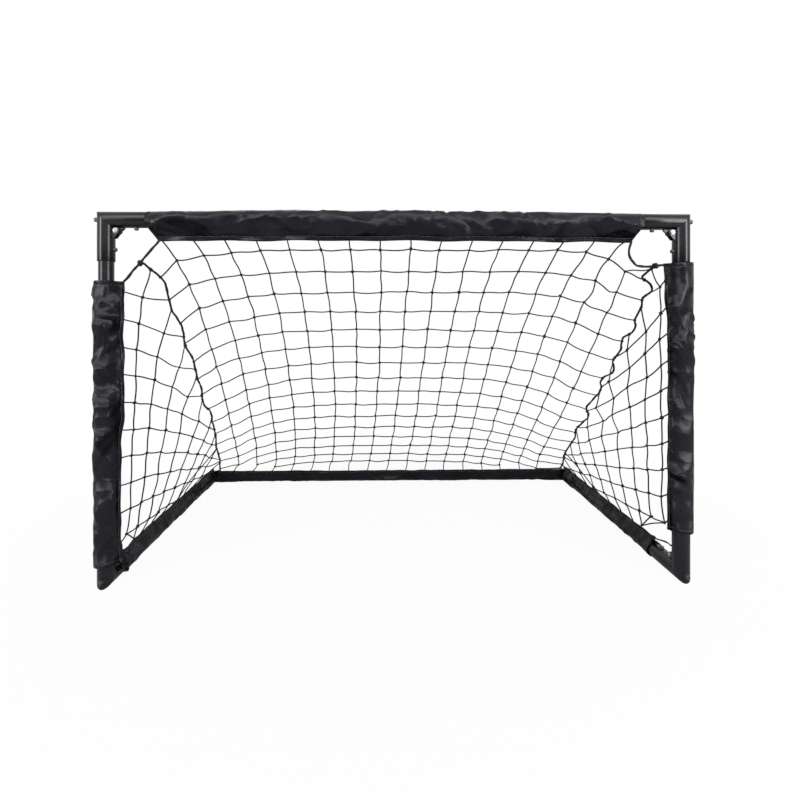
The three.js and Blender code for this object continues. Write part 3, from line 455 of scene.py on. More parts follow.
@dataclass(frozen=True)
class LaidCord:
    """Dark cord, twisted or braided, with a little fuzz; its colour is paler on the strands'
    crests and darker in the grooves between them.
    """

    name: str
    colour: tuple[float, float, float]
    worn: tuple[float, float, float]
    lay: float
    strands: int
    crossed: bool
    fuzz_scale: float
    fuzz_shares: tuple[float, float]
    shade: tuple[float, float]
    roughness: tuple[float, float]
    relief: tuple[float, float]

    def make(self) -> bpy.types.Material:
        """Builds the material.

        Returns:
            The material.
        """
        web = Web(self.name)
        along, around = web.laid(self.lay, self.strands)
        if self.crossed:
            crossing = (along - around).sine().size()
            laid = (along + around).sine().size().maths("MAXIMUM", crossing)
        else:
            laid = (along + around).sine() * 0.5 + 0.5
        fuzz = web.grain(web.place(), self.fuzz_scale, 2)
        # The colour follows the lay: paler along the strands' crests, darker in the grooves
        # between them.
        worn, rough = (laid * (1 - share) + fuzz * share for share in self.fuzz_shares)
        return web.finished(
            Base_Color=web.mixed(worn.held(*self.shade), self.colour, self.worn),
            Roughness=fuzz.held(0.3, 0.7, *self.roughness),
            Normal=web.raised(rough, *self.relief),
            Specular_IOR_Level=0.2,
        )


@dataclass(frozen=True)
class BareMetal:
    """Plated or oiled steel with a brushed grain and dull spots."""

    name: str
    colour: tuple[float, float, float]
    dulled: tuple[float, float, float]
    metallic: float
    roughness: tuple[float, float]
    scratch: float = 0.00005

    def make(self) -> bpy.types.Material:
        """Builds the material.

        Returns:
            The material.
        """
        web = Web(self.name)
        place = web.place()
        spots = web.grain(place, 320, 4, 0.6).held(0.5, 0.72)
        brushed = web.grain(web.stretched(place, (1400, 1400, 90)), 1, 2)
        return web.finished(
            Base_Color=web.mixed(spots, self.colour, self.dulled),
            Metallic=spots.held(0, 1, self.metallic, self.metallic * 0.8),
            Roughness=brushed.held(0.3, 0.7, *self.roughness) + spots * 0.12,
            Normal=web.raised(brushed, self.scratch, 0.3),
        )


@dataclass(frozen=True)
class SewingThread:
    """Grey polyester thread, paler where it catches the light."""

    name: str = "sewing_thread"
    colour: tuple[float, float, float] = (0.03, 0.03, 0.034)
    caught: tuple[float, float, float] = (0.2, 0.2, 0.21)
    relief: float = 0.0002

    def make(self) -> bpy.types.Material:
        """Builds the material.

        Returns:
            The material.
        """
        web = Web(self.name)
        fuzz = web.grain(web.place(), 420, 2)
        return web.finished(
            Base_Color=web.mixed(fuzz.held(0.4, 0.8), self.colour, self.caught),
            Roughness=fuzz.held(0.3, 0.7, 0.4, 0.6),
            Normal=web.raised(fuzz, self.relief, 0.3),
        )


class Finishes:
    """The object's materials, each made once."""

    twine = LaidCord(
        name="net_twine",
        colour=(0.005, 0.005, 0.006),
        worn=(0.022, 0.022, 0.025),
        lay=4.2 * MM,
        strands=3,
        crossed=False,
        fuzz_scale=700,
        fuzz_shares=(0.5, 0.2),
        shade=(0.35, 0.9),
        roughness=(0.72, 0.9),
        relief=(0.4 * MM, 0.6),
    )
    rope = LaidCord(
        name="braided_rope",
        colour=(0.004, 0.004, 0.005),
        worn=(0.016, 0.016, 0.018),
        lay=9 * MM,
        strands=4,
        crossed=True,
        fuzz_scale=600,
        fuzz_shares=(0.4, 0.0),
        shade=(0.45, 1.0),
        roughness=(0.62, 0.82),
        relief=(0.6 * MM, 0.7),
    )
    zinc = BareMetal("zinc_plate", (0.27, 0.275, 0.29), (0.15, 0.15, 0.155), 0.9, (0.34, 0.5))
    steel = BareMetal(
        "dark_steel", (0.035, 0.035, 0.038), (0.09, 0.09, 0.095), 0.35, (0.28, 0.42)
    )
    recipes: dict[Slot, Recipe] = {
        Slot.POWDER: PowderCoat(),
        Slot.NYLON: CoatedNylon(),
        Slot.TWINE: twine,
        Slot.ROPE: rope,
        Slot.ZINC: zinc,
        Slot.STEEL: steel,
    }

    def __init__(self) -> None:
        """Starts with nothing made."""
        self.made: dict[Recipe, bpy.types.Material] = {}

    def take(self, recipe: Recipe) -> bpy.types.Material:
        """A recipe's material, made at the first call.

        Args:
            recipe: what makes it.
        Returns:
            The material.
        """
        if recipe not in self.made:
            self.made[recipe] = recipe.make()
        return self.made[recipe]

    def get(self, slot: Slot) -> bpy.types.Material:
        """The material of a slot."""
        return self.take(self.recipes[slot])


FINISH = Finishes()


# Meshes


@dataclass
class Shell:
    """The points and faces of a piece while it is being made."""

    points: list[Vector] = field(default_factory=list)
    faces: list[tuple[int, ...]] = field(default_factory=list)
    numbers: dict[str, list[float]] = field(default_factory=dict)

    def ring(self, points: Iterable[Vector], **numbers: Sequence[float]) -> list[int]:
        """Adds points.

        Args:
            points: the ring's points in order.
            numbers: values kept on the points, by name.
        Returns:
            The points' places in the list.
        """
        first = len(self.points)
        self.points.extend(points)
        for name, values in numbers.items():
            self.numbers.setdefault(name, []).extend(values)
        return list(range(first, len(self.points)))

    def join(self, one: Sequence[int], two: Sequence[int]) -> None:
        """Adds the faces between two rings of as many points.

        Args:
            one: the first ring.
            two: the second ring.
        """
        count = len(one)
        for k in range(count):
            m = (k + 1) % count
            self.faces.append((one[k], one[m], two[m], two[k]))

    def skin(self, rings: Sequence[Sequence[int]], looped: bool = False) -> None:
        """Joins rings in order, and the last to the first when looped.

        Args:
            rings: the rings.
            looped: whether the last is joined to the first.
        """
        for one, two in zip(rings, rings[1:]):
            self.join(one, two)
        if looped:
            self.join(rings[-1], rings[0])

    def rod(self, rings: Sequence[Sequence[int]]) -> None:
        """Joins rings in order and closes both ends with a face.

        Args:
            rings: the rings.
        """
        self.skin(rings)
        self.faces.append(tuple(reversed(rings[0])))
        self.faces.append(tuple(rings[-1]))

    def turn(
        self,
        origin: Vector,
        axis: Vector,
        profile: Iterable[tuple[float, float]],
        sides: int,
        looped: bool = False,
    ) -> None:
        """Adds a turned body.

        Args:
            origin: the profile's zero on the axis.
            axis: its direction.
            profile: [radius, distance along the axis] from one end to the other.
            sides: how many points a ring has.
            looped: whether the profile closes on itself round a bore.
        """
        u, v = square_to(axis)
        rings = [
            self.ring(circle(origin + axis * far, u, v, max(radius, 1e-5), sides))
            for radius, far in profile
        ]
        if looped:
            self.skin(rings, looped=True)
        else:
            self.rod(rings)

    def cord(self, line: Sequence[Vector], sizes: Sequence[float], sides: int) -> float:
        """Adds a cord along a line, with its lay kept on the points.

        Args:
            line: its middle line.
            sizes: its radius at each of the line's points.
            sides: how many points a ring has.
        Returns:
            The cord's length.
        """
        lean, _ = square_to((line[1] - line[0]).normalized())
        turns = [j / sides for j in range(sides)]
        along = reaches(line)
        rings = []
        for k, (point, size) in enumerate(zip(line, sizes)):
            way = (line[min(k + 1, len(line) - 1)] - line[max(k - 1, 0)]).normalized()
            lean = (lean - way * lean.dot(way)).normalized()
            points = circle(point, lean, way.cross(lean), size, sides)
            rings.append(self.ring(points, along=[along[k]] * sides, around=turns))
        self.rod(rings)
        return along[-1]

    def piece(self, name: str, slot: Slot, crease: float = 40.0) -> bpy.types.Object:
        """Makes the object.

        Args:
            name: its name.
            slot: its material slot.
            crease: edges sharper than this, in degrees, stay sharp.
        Returns:
            The object, with its normals pointing out.
        """
        mesh = bpy.data.meshes.new(name)
        mesh.from_pydata([tuple(p) for p in self.points], [], self.faces)
        for key, values in self.numbers.items():
            kept = mesh.attributes.new(key, "FLOAT", "POINT")
            kept.data.foreach_set("value", values)
        work = bmesh.new()
        work.from_mesh(mesh)
        bmesh.ops.recalc_face_normals(work, faces=work.faces)
        work.to_mesh(mesh)
        work.free()
        mesh.shade_smooth()
        mesh.set_sharp_from_angle(angle=math.radians(crease))
        return placed(name, mesh, slot)


def placed(name: str, mesh: bpy.types.Mesh, slot: Slot) -> bpy.types.Object:
    """Links a mesh as an object at the origin, with its material and slot.

    Args:
        name: the object's name.
        mesh: its mesh.
        slot: its material slot.
    Returns:
        The object.
    """
    made = bpy.data.objects.new(name, mesh)
    bpy.context.scene.collection.objects.link(made)
    mesh.materials.clear()
    mesh.materials.append(FINISH.get(slot))
    return made


def circle(centre: Vector, u: Vector, v: Vector, radius: float, sides: int) -> list[Vector]:
    """A ring of points round a centre, from u towards v."""
    turns = [2 * math.pi * k / sides for k in range(sides)]
    return [centre + (u * math.cos(a) + v * math.sin(a)) * radius for a in turns]


def square_to(axis: Vector) -> tuple[Vector, Vector]:
    """Two directions square to an axis and to each other.

    Args:
        axis: the axis, of length 1.
    Returns:
        The two directions.
    """
    guess = Z if abs(axis.z) < 0.9 else Y
    u = axis.cross(guess).normalized()
    return u, axis.cross(u).normalized()


def eased(table: Sequence[tuple[float, float]], place: float) -> float:
    """The value of a table of (place, value) pairs, straight between them.

    Args:
        table: the pairs, in order of place.
        place: where it is read.
    Returns:
        The value.
    """
    for (start, low), (end, high) in zip(table, table[1:]):
        if place <= end:
            return low + (high - low) * max((place - start) / max(end - start, 1e-9), 0)
    return table[-1][1]


def smooth(x: float) -> float:
    """Rises from 0 to 1 with no corner at either end."""
    x = min(max(x, 0.0), 1.0)
    return x * x * (3 - 2 * x)


# Geometry Nodes


class Grower:
    """A Geometry Nodes tree, built one node at a time."""

    def __init__(self, name: str) -> None:
        """Starts a tree with a geometry input and output.

        Args:
            name: the tree's name.
        """
        self.tree = bpy.data.node_groups.new(name, "GeometryNodeTree")
        face = self.tree.interface
        for way in ("INPUT", "OUTPUT"):
            face.new_socket(name="Geometry", in_out=way, socket_type="NodeSocketGeometry")
        self.source = self.tree.nodes.new("NodeGroupInput")
        self.end = self.tree.nodes.new("NodeGroupOutput")

    @property
    def given(self) -> bpy.types.NodeSocket:
        """The geometry that the tree is given."""
        return self.source.outputs["Geometry"]

    def size(
        self, name: str, value: float | None = None, kind: str = "NodeSocketFloat"
    ) -> bpy.types.NodeSocket:
        """Adds a named input.

        Args:
            name: its name.
            value: its default.
            kind: its socket type.
        Returns:
            The socket that nodes read.
        """
        made = self.tree.interface.new_socket(name=name, in_out="INPUT", socket_type=kind)
        if value is not None:
            made.default_value = value
        return self.source.outputs[name]

    def node(
        self,
        kind: str,
        values: dict[Any, Any] | None = None,
        **settings: Any,
    ) -> bpy.types.Node:
        """Adds one node.

        Args:
            kind: its type.
            values: socket name or number to a value, a socket, or a node's first output.
            settings: its own settings.
        Returns:
            The node.
        """
        made = self.tree.nodes.new(kind)
        for key, value in settings.items():
            setattr(made, key, value)
        for key, value in (values or {}).items():
            if isinstance(value, bpy.types.Node):
                value = value.outputs[0]
            if isinstance(value, bpy.types.NodeSocket):
                self.tree.links.new(value, made.inputs[key])
            else:
                made.inputs[key].default_value = value
        return made

    def stored(self, name: str, geometry: bpy.types.Node, value: Any) -> bpy.types.Node:
        """Keeps a number on the points under a name.

        Args:
            name: the name.
            geometry: the points.
            value: the number.
        Returns:
            The node.
        """
        values = {"Geometry": geometry, "Name": name, "Value": value}
        kind = "GeometryNodeStoreNamedAttribute"
        return self.node(kind, values, data_type="FLOAT", domain="POINT")

    def read(self, name: str, data_type: str) -> bpy.types.NodeSocket:
        """Reads what is kept under a name."""
        kind = "GeometryNodeInputNamedAttribute"
        return self.node(kind, {"Name": name}, data_type=data_type).outputs["Attribute"]

    def dice(self, low: Sequence[float], high: Sequence[float], seed: int) -> bpy.types.Node:
        """A random vector for each point."""
        values = {0: low, 1: high, "Seed": seed}
        return self.node("FunctionNodeRandomValue", values, data_type="FLOAT_VECTOR")

    def aimed(self, vector: bpy.types.NodeSocket) -> bpy.types.Node:
        """The turn that brings Z onto a vector."""
        return self.node("FunctionNodeAlignRotationToVector", {"Vector": vector}, axis="Z")

    def spread(self, points: Any, piece: Any, turn: Any, **scale: Any) -> bpy.types.Node:
        """Puts a copy of a piece on each point."""
        values = {"Points": points, "Instance": piece, "Rotation": turn, **scale}
        return self.node("GeometryNodeInstanceOnPoints", values)

    def finish(self, geometry: bpy.types.Node) -> "Grower":
        """Realizes the instances, sets the material and ends the tree.

        Args:
            geometry: the node whose output is the result.
        Returns:
            The tree.
        """
        material = self.size("Material", kind="NodeSocketMaterial")
        real = self.node("GeometryNodeRealizeInstances", {0: geometry})
        rounded = self.node("GeometryNodeSetShadeSmooth", {0: real})
        dressed = self.node("GeometryNodeSetMaterial", {0: rounded, 2: material})
        self.tree.links.new(dressed.outputs[0], self.end.inputs[0])
        return self

    def grow(self, name: str, seed: bpy.types.Mesh, slot: Slot, **sizes: Any) -> bpy.types.Object:
        """Runs the tree on a mesh and keeps the result as a plain mesh.

        Args:
            name: the new piece's name.
            seed: the mesh that the tree reads.
            slot: the piece's material slot.
            sizes: the tree's inputs, with _ for a blank.
        Returns:
            The piece.
        """
        made = bpy.data.objects.new(name, seed)
        bpy.context.scene.collection.objects.link(made)
        modifier = made.modifiers.new("grow", "NODES")
        modifier.node_group = self.tree
        wanted = {key.replace("_", " "): value for key, value in sizes.items()}
        wanted["Material"] = FINISH.get(slot)
        for item in self.tree.interface.items_tree:
            if item.in_out == "INPUT" and item.name in wanted:
                modifier[item.identifier] = wanted[item.name]
        graph = bpy.context.evaluated_depsgraph_get()
        mesh = bpy.data.meshes.new_from_object(made.evaluated_get(graph))
        made.modifiers.remove(modifier)
        bpy.data.objects.remove(made)
        return placed(name, mesh, slot)


def twine_grower() -> Grower:
    """Twine along every edge, with a knot on each point that has a tie size.

    Returns:
        The tree, which reads a mesh of edges.
    """
    grower = Grower("knotted_twine")
    radius, knot = grower.size("Radius"), grower.size("Knot Radius")
    reach = grower.node("GeometryNodeSplineParameter")
    course = grower.node("GeometryNodeMeshToCurve", {0: grower.given})
    course = grower.stored("along", course, reach.outputs["Length"])
    section = grower.node(
        "GeometryNodeCurvePrimitiveCircle", {"Resolution": 6, "Radius": radius}
    )
    section = grower.stored("around", section, reach.outputs["Factor"])
    twine = grower.node(
        "GeometryNodeCurveToMesh", {"Curve": course, "Profile Curve": section, "Fill Caps": True}
    )
    tie = grower.read("tie", "FLOAT")
    is_tied = grower.node("FunctionNodeCompare", {0: tie, 1: 0.5}, data_type="FLOAT")
    points = grower.node(
        "GeometryNodeMeshToPoints", {"Mesh": grower.given, "Selection": is_tied}
    )
    lump = grower.node("GeometryNodeMeshIcoSphere", {"Radius": knot, "Subdivisions": 2})
    uneven = grower.dice((0.9, 0.75, 0.7), (1.35, 1.1, 1.0), 5)
    scale = grower.node("ShaderNodeVectorMath", {0: uneven, "Scale": tie}, operation="SCALE")
    spun = grower.dice((0.0, 0.0, 0.0), (3.1, 3.1, 3.1), 9)
    knots = grower.spread(points, lump, spun, Scale=scale)
    both = grower.node("GeometryNodeJoinGeometry")
    for made in (twine, knots):
        grower.tree.links.new(made.outputs[0], both.inputs[0])
    return grower.finish(both)


def stitch_grower() -> Grower:
    """Stitches at an even pitch along every edge line.

    Returns:
        The tree, which reads a mesh of edges.
    """
    grower = Grower("stitch_row")
    pitch = grower.size("Pitch", 4.2 * MM)
    length = grower.size("Stitch Length", 2.9 * MM)
    width = grower.size("Stitch Width", 0.9 * MM)
    line = grower.node("GeometryNodeMeshToCurve", {0: grower.given})
    points = grower.node(
        "GeometryNodeCurveToPoints", {"Curve": line, "Length": pitch}, mode="LENGTH"
    )
    bead = grower.node("GeometryNodeMeshUVSphere", {"Segments": 6, "Rings": 4, "Radius": 0.5})
    size = grower.node("ShaderNodeCombineXYZ", {0: width, 1: width, 2: length})
    turn = grower.aimed(points.outputs["Tangent"])
    return grower.finish(grower.spread(points, bead, turn, Scale=size))


def screw_grower() -> Grower:
    """One bolt with its nut at each point, turned to the point's aim.

    Returns:
        The tree, which reads a mesh of points.
    """
    grower = Grower("hinge_screws")
    pattern = grower.size("Pattern", kind="NodeSocketObject")
    info = grower.node("GeometryNodeObjectInfo", {"Object": pattern})
    turn = grower.aimed(grower.read("aim", "FLOAT_VECTOR"))
    return grower.finish(grower.spread(grower.given, info.outputs["Geometry"], turn))


# Frame


@dataclass
class Leg:
    """A mitred bracket leg with its hinge lugs."""

    name: str
    corner: Vector
    direction: Vector
    other: Vector
    forked: bool
    radius: float = 16 * MM
    bore: float = 14.3 * MM
    length: float = 84 * MM
    lip: float = 1.2 * MM
    gap: float = 0.3 * MM
    pivot: float = 22.5 * MM
    lug_radius: float = 5.9 * MM
    lug_length: float = 21 * MM
    lug_toe: float = 2.5 * MM
    lug_root: float = 0.9 * MM
    lug_bevel: float = 0.35 * MM
    lug_steps: int = 16
    tongue: float = 5 * MM
    fork: float = 3.4 * MM
    weld: float = 1.1 * MM
    weld_steps: int = 22
    sides: int = 56

    def __post_init__(self) -> None:
        """Works out the axis that the bracket turns on."""
        self.hinge = self.direction.cross(self.other)

    def at(self, far: float, aside: float, height: float) -> Vector:
        """A point given along the leg, towards the other leg and along the hinge."""
        return self.corner + self.direction * far + self.other * aside + self.hinge * height

    def ring(self, shell: Shell, radius: float, far: float | None = None) -> list[int]:
        """Adds a ring of the tube, square at a distance or on the mitre plane.

        Args:
            shell: what it is added to.
            radius: the ring's radius.
            far: its distance from the corner, or None for the mitre.
        Returns:
            The ring's points.
        """
        across = self.direction.cross(self.hinge)
        normal = (self.direction - self.other).normalized()
        points = []
        for point in circle(self.corner, self.hinge, across, radius, self.sides):
            run = far
            if run is None:
                left = self.gap / 2 - (point - self.corner).dot(normal)
                run = left / self.direction.dot(normal)
            points.append(point + self.direction * run)
        return shell.ring(points)

    def lug(self, shell: Shell, low: float, high: float) -> None:
        """Adds one lug plate between two heights along the hinge's axis.

        Args:
            shell: what it is added to.
            low: the plate's lower height.
            high: its upper height.
        """
        root, tip = self.radius - self.lug_root, self.radius + self.lug_length
        heel, toe = self.pivot - self.lug_radius, self.radius + self.lug_toe
        outline = [Vector((heel, root)), Vector((tip, root)), Vector((tip, toe))]
        for k in range(self.lug_steps + 1):
            turn = math.pi * (0.25 + 0.75 * k / self.lug_steps)
            arm = Vector((math.cos(turn), math.sin(turn))) * self.lug_radius
            outline.append(Vector((self.pivot, self.pivot)) + arm)
        middle = sum(outline, Vector((0, 0))) / len(outline)
        bevel = self.lug_bevel
        rings = []
        for height, shrink in ((low, bevel), (low + bevel, 0), (high - bevel, 0), (high, bevel)):
            inset = [p - (p - middle).normalized() * shrink for p in outline]
            rings.append(shell.ring(self.at(p.x, p.y, height) for p in inset))
        shell.rod(rings)

    def seam(self, shell: Shell, height: float) -> None:
        """Adds the weld bead along one lug's foot.

        Args:
            shell: what it is added to.
            height: the height of the lug's face.
        """
        start, end = self.pivot - self.lug_radius, self.radius + self.lug_length
        edge = math.sqrt(max(self.radius**2 - height**2, 0))
        rings = []
        for k in range(self.weld_steps + 1):
            share = k / self.weld_steps
            taper = min(1, 6 * share, 6 * (1 - share) + 0.2)
            swell = self.weld * (0.8 + 0.25 * math.sin(k * 1.9)) * taper
            centre = self.at(start + (end - start) * share, edge, height)
            rings.append(shell.ring(circle(centre, self.hinge, self.other, max(swell, 1e-4), 8)))
        shell.rod(rings)

    def build(self) -> bpy.types.Object:
        """Makes the leg.

        Returns:
            The leg.
        """
        shell = Shell()
        half = self.length * 0.5
        outside = [
            (self.radius - self.lip, self.length),
            (self.radius - self.lip * 0.3, self.length - self.lip * 0.5),
            (self.radius, self.length - self.lip * 1.5),
            (self.radius, half),
            (self.radius, None),
        ]
        inside = [(self.bore, None), (self.bore, half), (self.bore, self.length)]
        rings = [self.ring(shell, radius, far) for radius, far in outside + inside]
        shell.skin(rings, looped=True)
        inner, outer = -self.tongue / 2, self.tongue / 2
        plates = [(inner, outer)]
        if self.forked:
            inner = self.tongue / 2 + self.gap
            outer = inner + self.fork
            plates = [(inner, outer), (-outer, -inner)]
        for low, high in plates:
            self.lug(shell, low, high)
        for height in (outer, -outer):
            self.seam(shell, height)
        return shell.piece(self.name + "_painted", Slot.POWDER)


@dataclass
class GoalFrame:
    """Bracket legs, posts, hinge hardware, snap buttons and lock pins."""

    tube: float = 14 * MM
    wall: float = 1.2 * MM
    edge: float = 0.3 * MM
    stop: float = 26 * MM
    leg: float = 16 * MM
    pivot: float = 22.5 * MM
    face: float = 6.5 * MM
    head: float = 4.6 * MM
    head_high: float = 2.8 * MM
    flange: float = 0.7 * MM
    shank: float = 2.5 * MM
    nut: float = 4.8 * MM
    nut_high: float = 4 * MM
    chamfer: float = 0.5 * MM
    washer: float = 0.25 * MM
    tail: float = 12.1 * MM
    button: float = 4.2 * MM
    button_high: float = 5 * MM
    button_place: float = 60 * MM
    pin: float = 4.5 * MM
    pin_high: float = 7 * MM
    knob_deep: float = 11 * MM
    knob_flange: float = 1.2 * MM
    flange_share: float = 1.28
    crown_share: float = 0.42
    dome_share: float = 0.12
    crown_steps: int = 6
    knob_sides: int = 36
    tube_sides: int = 56

    def build(self) -> None:
        """Makes every metal piece and dresses the solids that stay."""
        kept = ["crossbar_tube", "back_tube"]
        for side in Side:
            kept += [f"{side.label}_side_tube", f"{side.label}_rear_elbow"]
            self.brackets(side)
            self.post(side)
        for name in kept:
            solid = frame["nodes"][name]
            solid.data.materials.clear()
            solid.data.materials.append(FINISH.get(Slot.POWDER))
        self.hardware()

    def carried(self, made: bpy.types.Object, body: str, *nodes: str) -> None:
        """Rides a piece on its body in place of its solids.

        Args:
            made: the piece.
            body: the body's name.
            nodes: its solids.
        """
        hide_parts(*nodes)
        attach(made, body)

    def brackets(self, side: Side) -> None:
        """Makes one side's bracket legs with their snap buttons, and its lock pins.

        Args:
            side: the goal's side.
        """
        top, foot = PLAN.top(side), PLAN.foot(side)
        for name, corner, direction, other, forked, body in (
            ("crossbar", top, side.inward, -Z, False, Body.FRONT),
            ("post_top", top, -Z, side.inward, True, Body.FRONT),
            ("post_foot", foot, Z, Y, False, Body.FRONT),
            ("ground", foot, Y, Z, True, Body.BASE),
        ):
            node = f"{side.label}_{name}_leg"
            made = Leg(node, corner, direction, other, forked).build()
            self.carried(made, body.value, node)
            seat = corner + direction * self.button_place
            self.knob(f"{side.label}_{name}_button", seat, other, self.button, self.button_high)
        self.knob(f"{side.label}_top_lock_pin", top, -side.inward, self.pin, self.pin_high)
        self.knob(f"{side.label}_foot_lock_pin", foot, -Y, self.pin, self.pin_high)

    def post(self, side: Side) -> None:
        """Makes one post's tube.

        Args:
            side: the goal's side.
        """
        node = f"{side.label}_post_tube"
        low, high = PLAN.foot(side) + Z * self.stop, PLAN.top(side) - Z * self.stop
        inside, length = self.tube - self.wall, (high - low).length
        profile = [(inside, 0.0), (self.tube - self.edge, 0.0), (self.tube, self.edge)]
        profile += [(self.tube, length), (inside, length)]
        shell = Shell()
        shell.turn(low, Z, profile, self.tube_sides, looped=True)
        self.carried(shell.piece(node + "_painted", Slot.POWDER), Body.FRONT.value, node)

    def knob(self, name: str, seat: Vector, out: Vector, radius: float, high: float) -> None:
        """Makes one snap button or lock pin and rides it on its own body.

        Args:
            name: its solid, which is also its body.
            seat: where its axis meets the leg's.
            out: its axis.
            radius: the radius of its shaft.
            high: how far it stands out of the leg.
        """
        crown, flange = radius * self.crown_share, radius * self.flange_share
        tip = self.leg + high
        low = tip - self.knob_deep
        profile = [(flange, low - self.knob_flange), (flange, low), (radius, low)]
        for k in range(self.crown_steps + 1):
            turn = math.pi / 2 * k / self.crown_steps
            rise = crown * math.sin(turn)
            profile.append((radius - crown * (1 - math.cos(turn)), tip - crown + rise))
        profile.append((0.0, tip + crown * self.dome_share))
        shell = Shell()
        shell.turn(seat, out, profile, self.knob_sides)
        self.carried(shell.piece(name + "_turned", Slot.STEEL), name, name)

    def pattern(self) -> bpy.types.Object:
        """One bolt and nut on the Z axis, for the screw tree.

        Returns:
            The bolt and nut, as one object.
        """
        shell = Shell()
        seat = self.face + self.flange
        top = self.face + self.head_high + 0.6 * MM
        rim, flat, bore = self.head * 1.22, self.head * 1.1, self.shank * 1.05
        slim, cut, high = self.nut * 0.86, self.chamfer, self.nut_high
        shank = [(self.shank * 0.8, -self.tail), (self.shank, cut - self.tail)]
        shank += [(self.shank, self.face), (rim, self.face)]
        shell.turn(ORIGIN, Z, shank + [(rim, seat - 0.1 * MM), (self.head, seat)], 24)
        shell.turn(ORIGIN, Z, [(flat, seat), (flat, top - cut), (self.head * 0.95, top)], 6)
        tip = [(self.shank, top - 0.2 * MM), (self.shank * 0.9, top + 0.7 * MM)]
        shell.turn(ORIGIN, Z, tip, 16)
        hexagon = [(bore, 0), (slim, 0), (self.nut, cut)]
        hexagon += [(self.nut, high - cut), (slim, high), (bore, high)]
        shell.turn(Z * -self.face, -Z, hexagon, 6, looped=True)
        wide, thin = self.nut * 1.12, self.washer
        ring = [(bore, 0), (wide, 0), (wide, thin), (bore, thin)]
        shell.turn(Z * (0.28 * MM - self.face), -Z, ring, 24, looped=True)
        return shell.piece("hinge_screw_pattern", Slot.ZINC, 30)

    def hardware(self) -> None:
        """Makes the hinge bolts and nuts, one piece for each frame."""
        grower = screw_grower()
        pattern = self.pattern()
        for body, where in ((Body.FRONT, "top"), (Body.BASE, "foot")):
            centres, aims, nodes = [], [], []
            for side in Side:
                if body is Body.FRONT:
                    centres.append(PLAN.top(side) + (side.inward - Z) * self.pivot)
                    aims.append(-Y)
                else:
                    centres.append(PLAN.foot(side) + (Y + Z) * self.pivot)
                    aims.append(-side.inward)
                nodes += [f"{side.label}_{where}_hinge_{part}" for part in ("bolt", "nut")]
            seed = bpy.data.meshes.new(where + "_hinge_places")
            seed.from_pydata([tuple(p) for p in centres], [], [])
            kept = seed.attributes.new("aim", "FLOAT_VECTOR", "POINT")
            kept.data.foreach_set("vector", [c for aim in aims for c in aim])
            made = grower.grow(where + "_hinge_screws", seed, Slot.ZINC, Pattern=pattern)
            made.data.set_sharp_from_angle(angle=math.radians(30))
            self.carried(made, body.value, *nodes)
        bpy.data.objects.remove(pattern)


# Sleeves


LEG_END = 84.3 * MM
ELBOW_END = 70.3 * MM
TUBE_CORE = 14 * MM
LEG_CORE = 16.2 * MM
SLIM = 15.95 * MM
FULL = 18.4 * MM
POST_HALF = 19.4 * MM
POST_TALL = 22.2 * MM
END_SEAM = 8.6 * MM
END_MARKS = (0.0, 1.2 * MM, 2.5 * MM, 7.6 * MM, END_SEAM, 9.6 * MM)
HEM_SHARES = (0.12, 0.4, 0.72, 0.9, 1.0)
HEM_SEAM = 0.9
DROP_SHARES = (0.08, 0.2, 0.34, 0.48, 0.62, 0.76, 0.9)
ARC_STEPS = 38
BROAD_FOLDS = (11, 0, 15, 0)
SKEW_FOLDS = (27, 22, 8, -5)
BACK_FOLDS = (22, -27, 8, 6)
SMALL_FOLDS = (44, 20, 36, -16)
FOLD_ZONES = (6, 0, 7, 0)
PUCKER = (95, 41, 0)
SLACK = (17, 53, 2)
SWAY = (22, 31, 0)

Table = Sequence[tuple[float, float]]


class Part(Enum):
    """The parts of a sleeve's section, from the hem's edge to the cloth round the tube."""

    TIP = "tip"
    HEM = "hem"
    DROP = "drop"
    ARC = "arc"


class Column(NamedTuple):
    """One line of points that runs the length of a sleeve."""

    part: Part
    share: float
    sign: float


class Spot(NamedTuple):
    """A point of a section: towards the hem, across, its normal, and the way round."""

    h: float
    w: float
    nh: float
    nw: float
    around: float = 0.0


class Ridge(NamedTuple):
    """A straight fold on a sleeve's face, from one place (far, h) to another."""

    start: tuple[float, float]
    end: tuple[float, float]
    width: float
    height: float


def make_columns() -> list[Column]:
    """The section's points in order, from the hem's edge round to it again.

    Returns:
        The columns.
    """
    front = [Column(Part.HEM, share, 1.0) for share in HEM_SHARES]
    front += [Column(Part.DROP, share, 1.0) for share in DROP_SHARES]
    arc = [Column(Part.ARC, k / ARC_STEPS, 1.0) for k in range(ARC_STEPS + 1)]
    back = [column._replace(sign=-1.0) for column in reversed(front)]
    return [Column(Part.TIP, 0.0, 1.0), *front, *arc, *back]


COLUMNS = make_columns()
SEAM_COLUMN = 1 + HEM_SHARES.index(HEM_SEAM)
FOOT_COLUMN = len(HEM_SHARES)


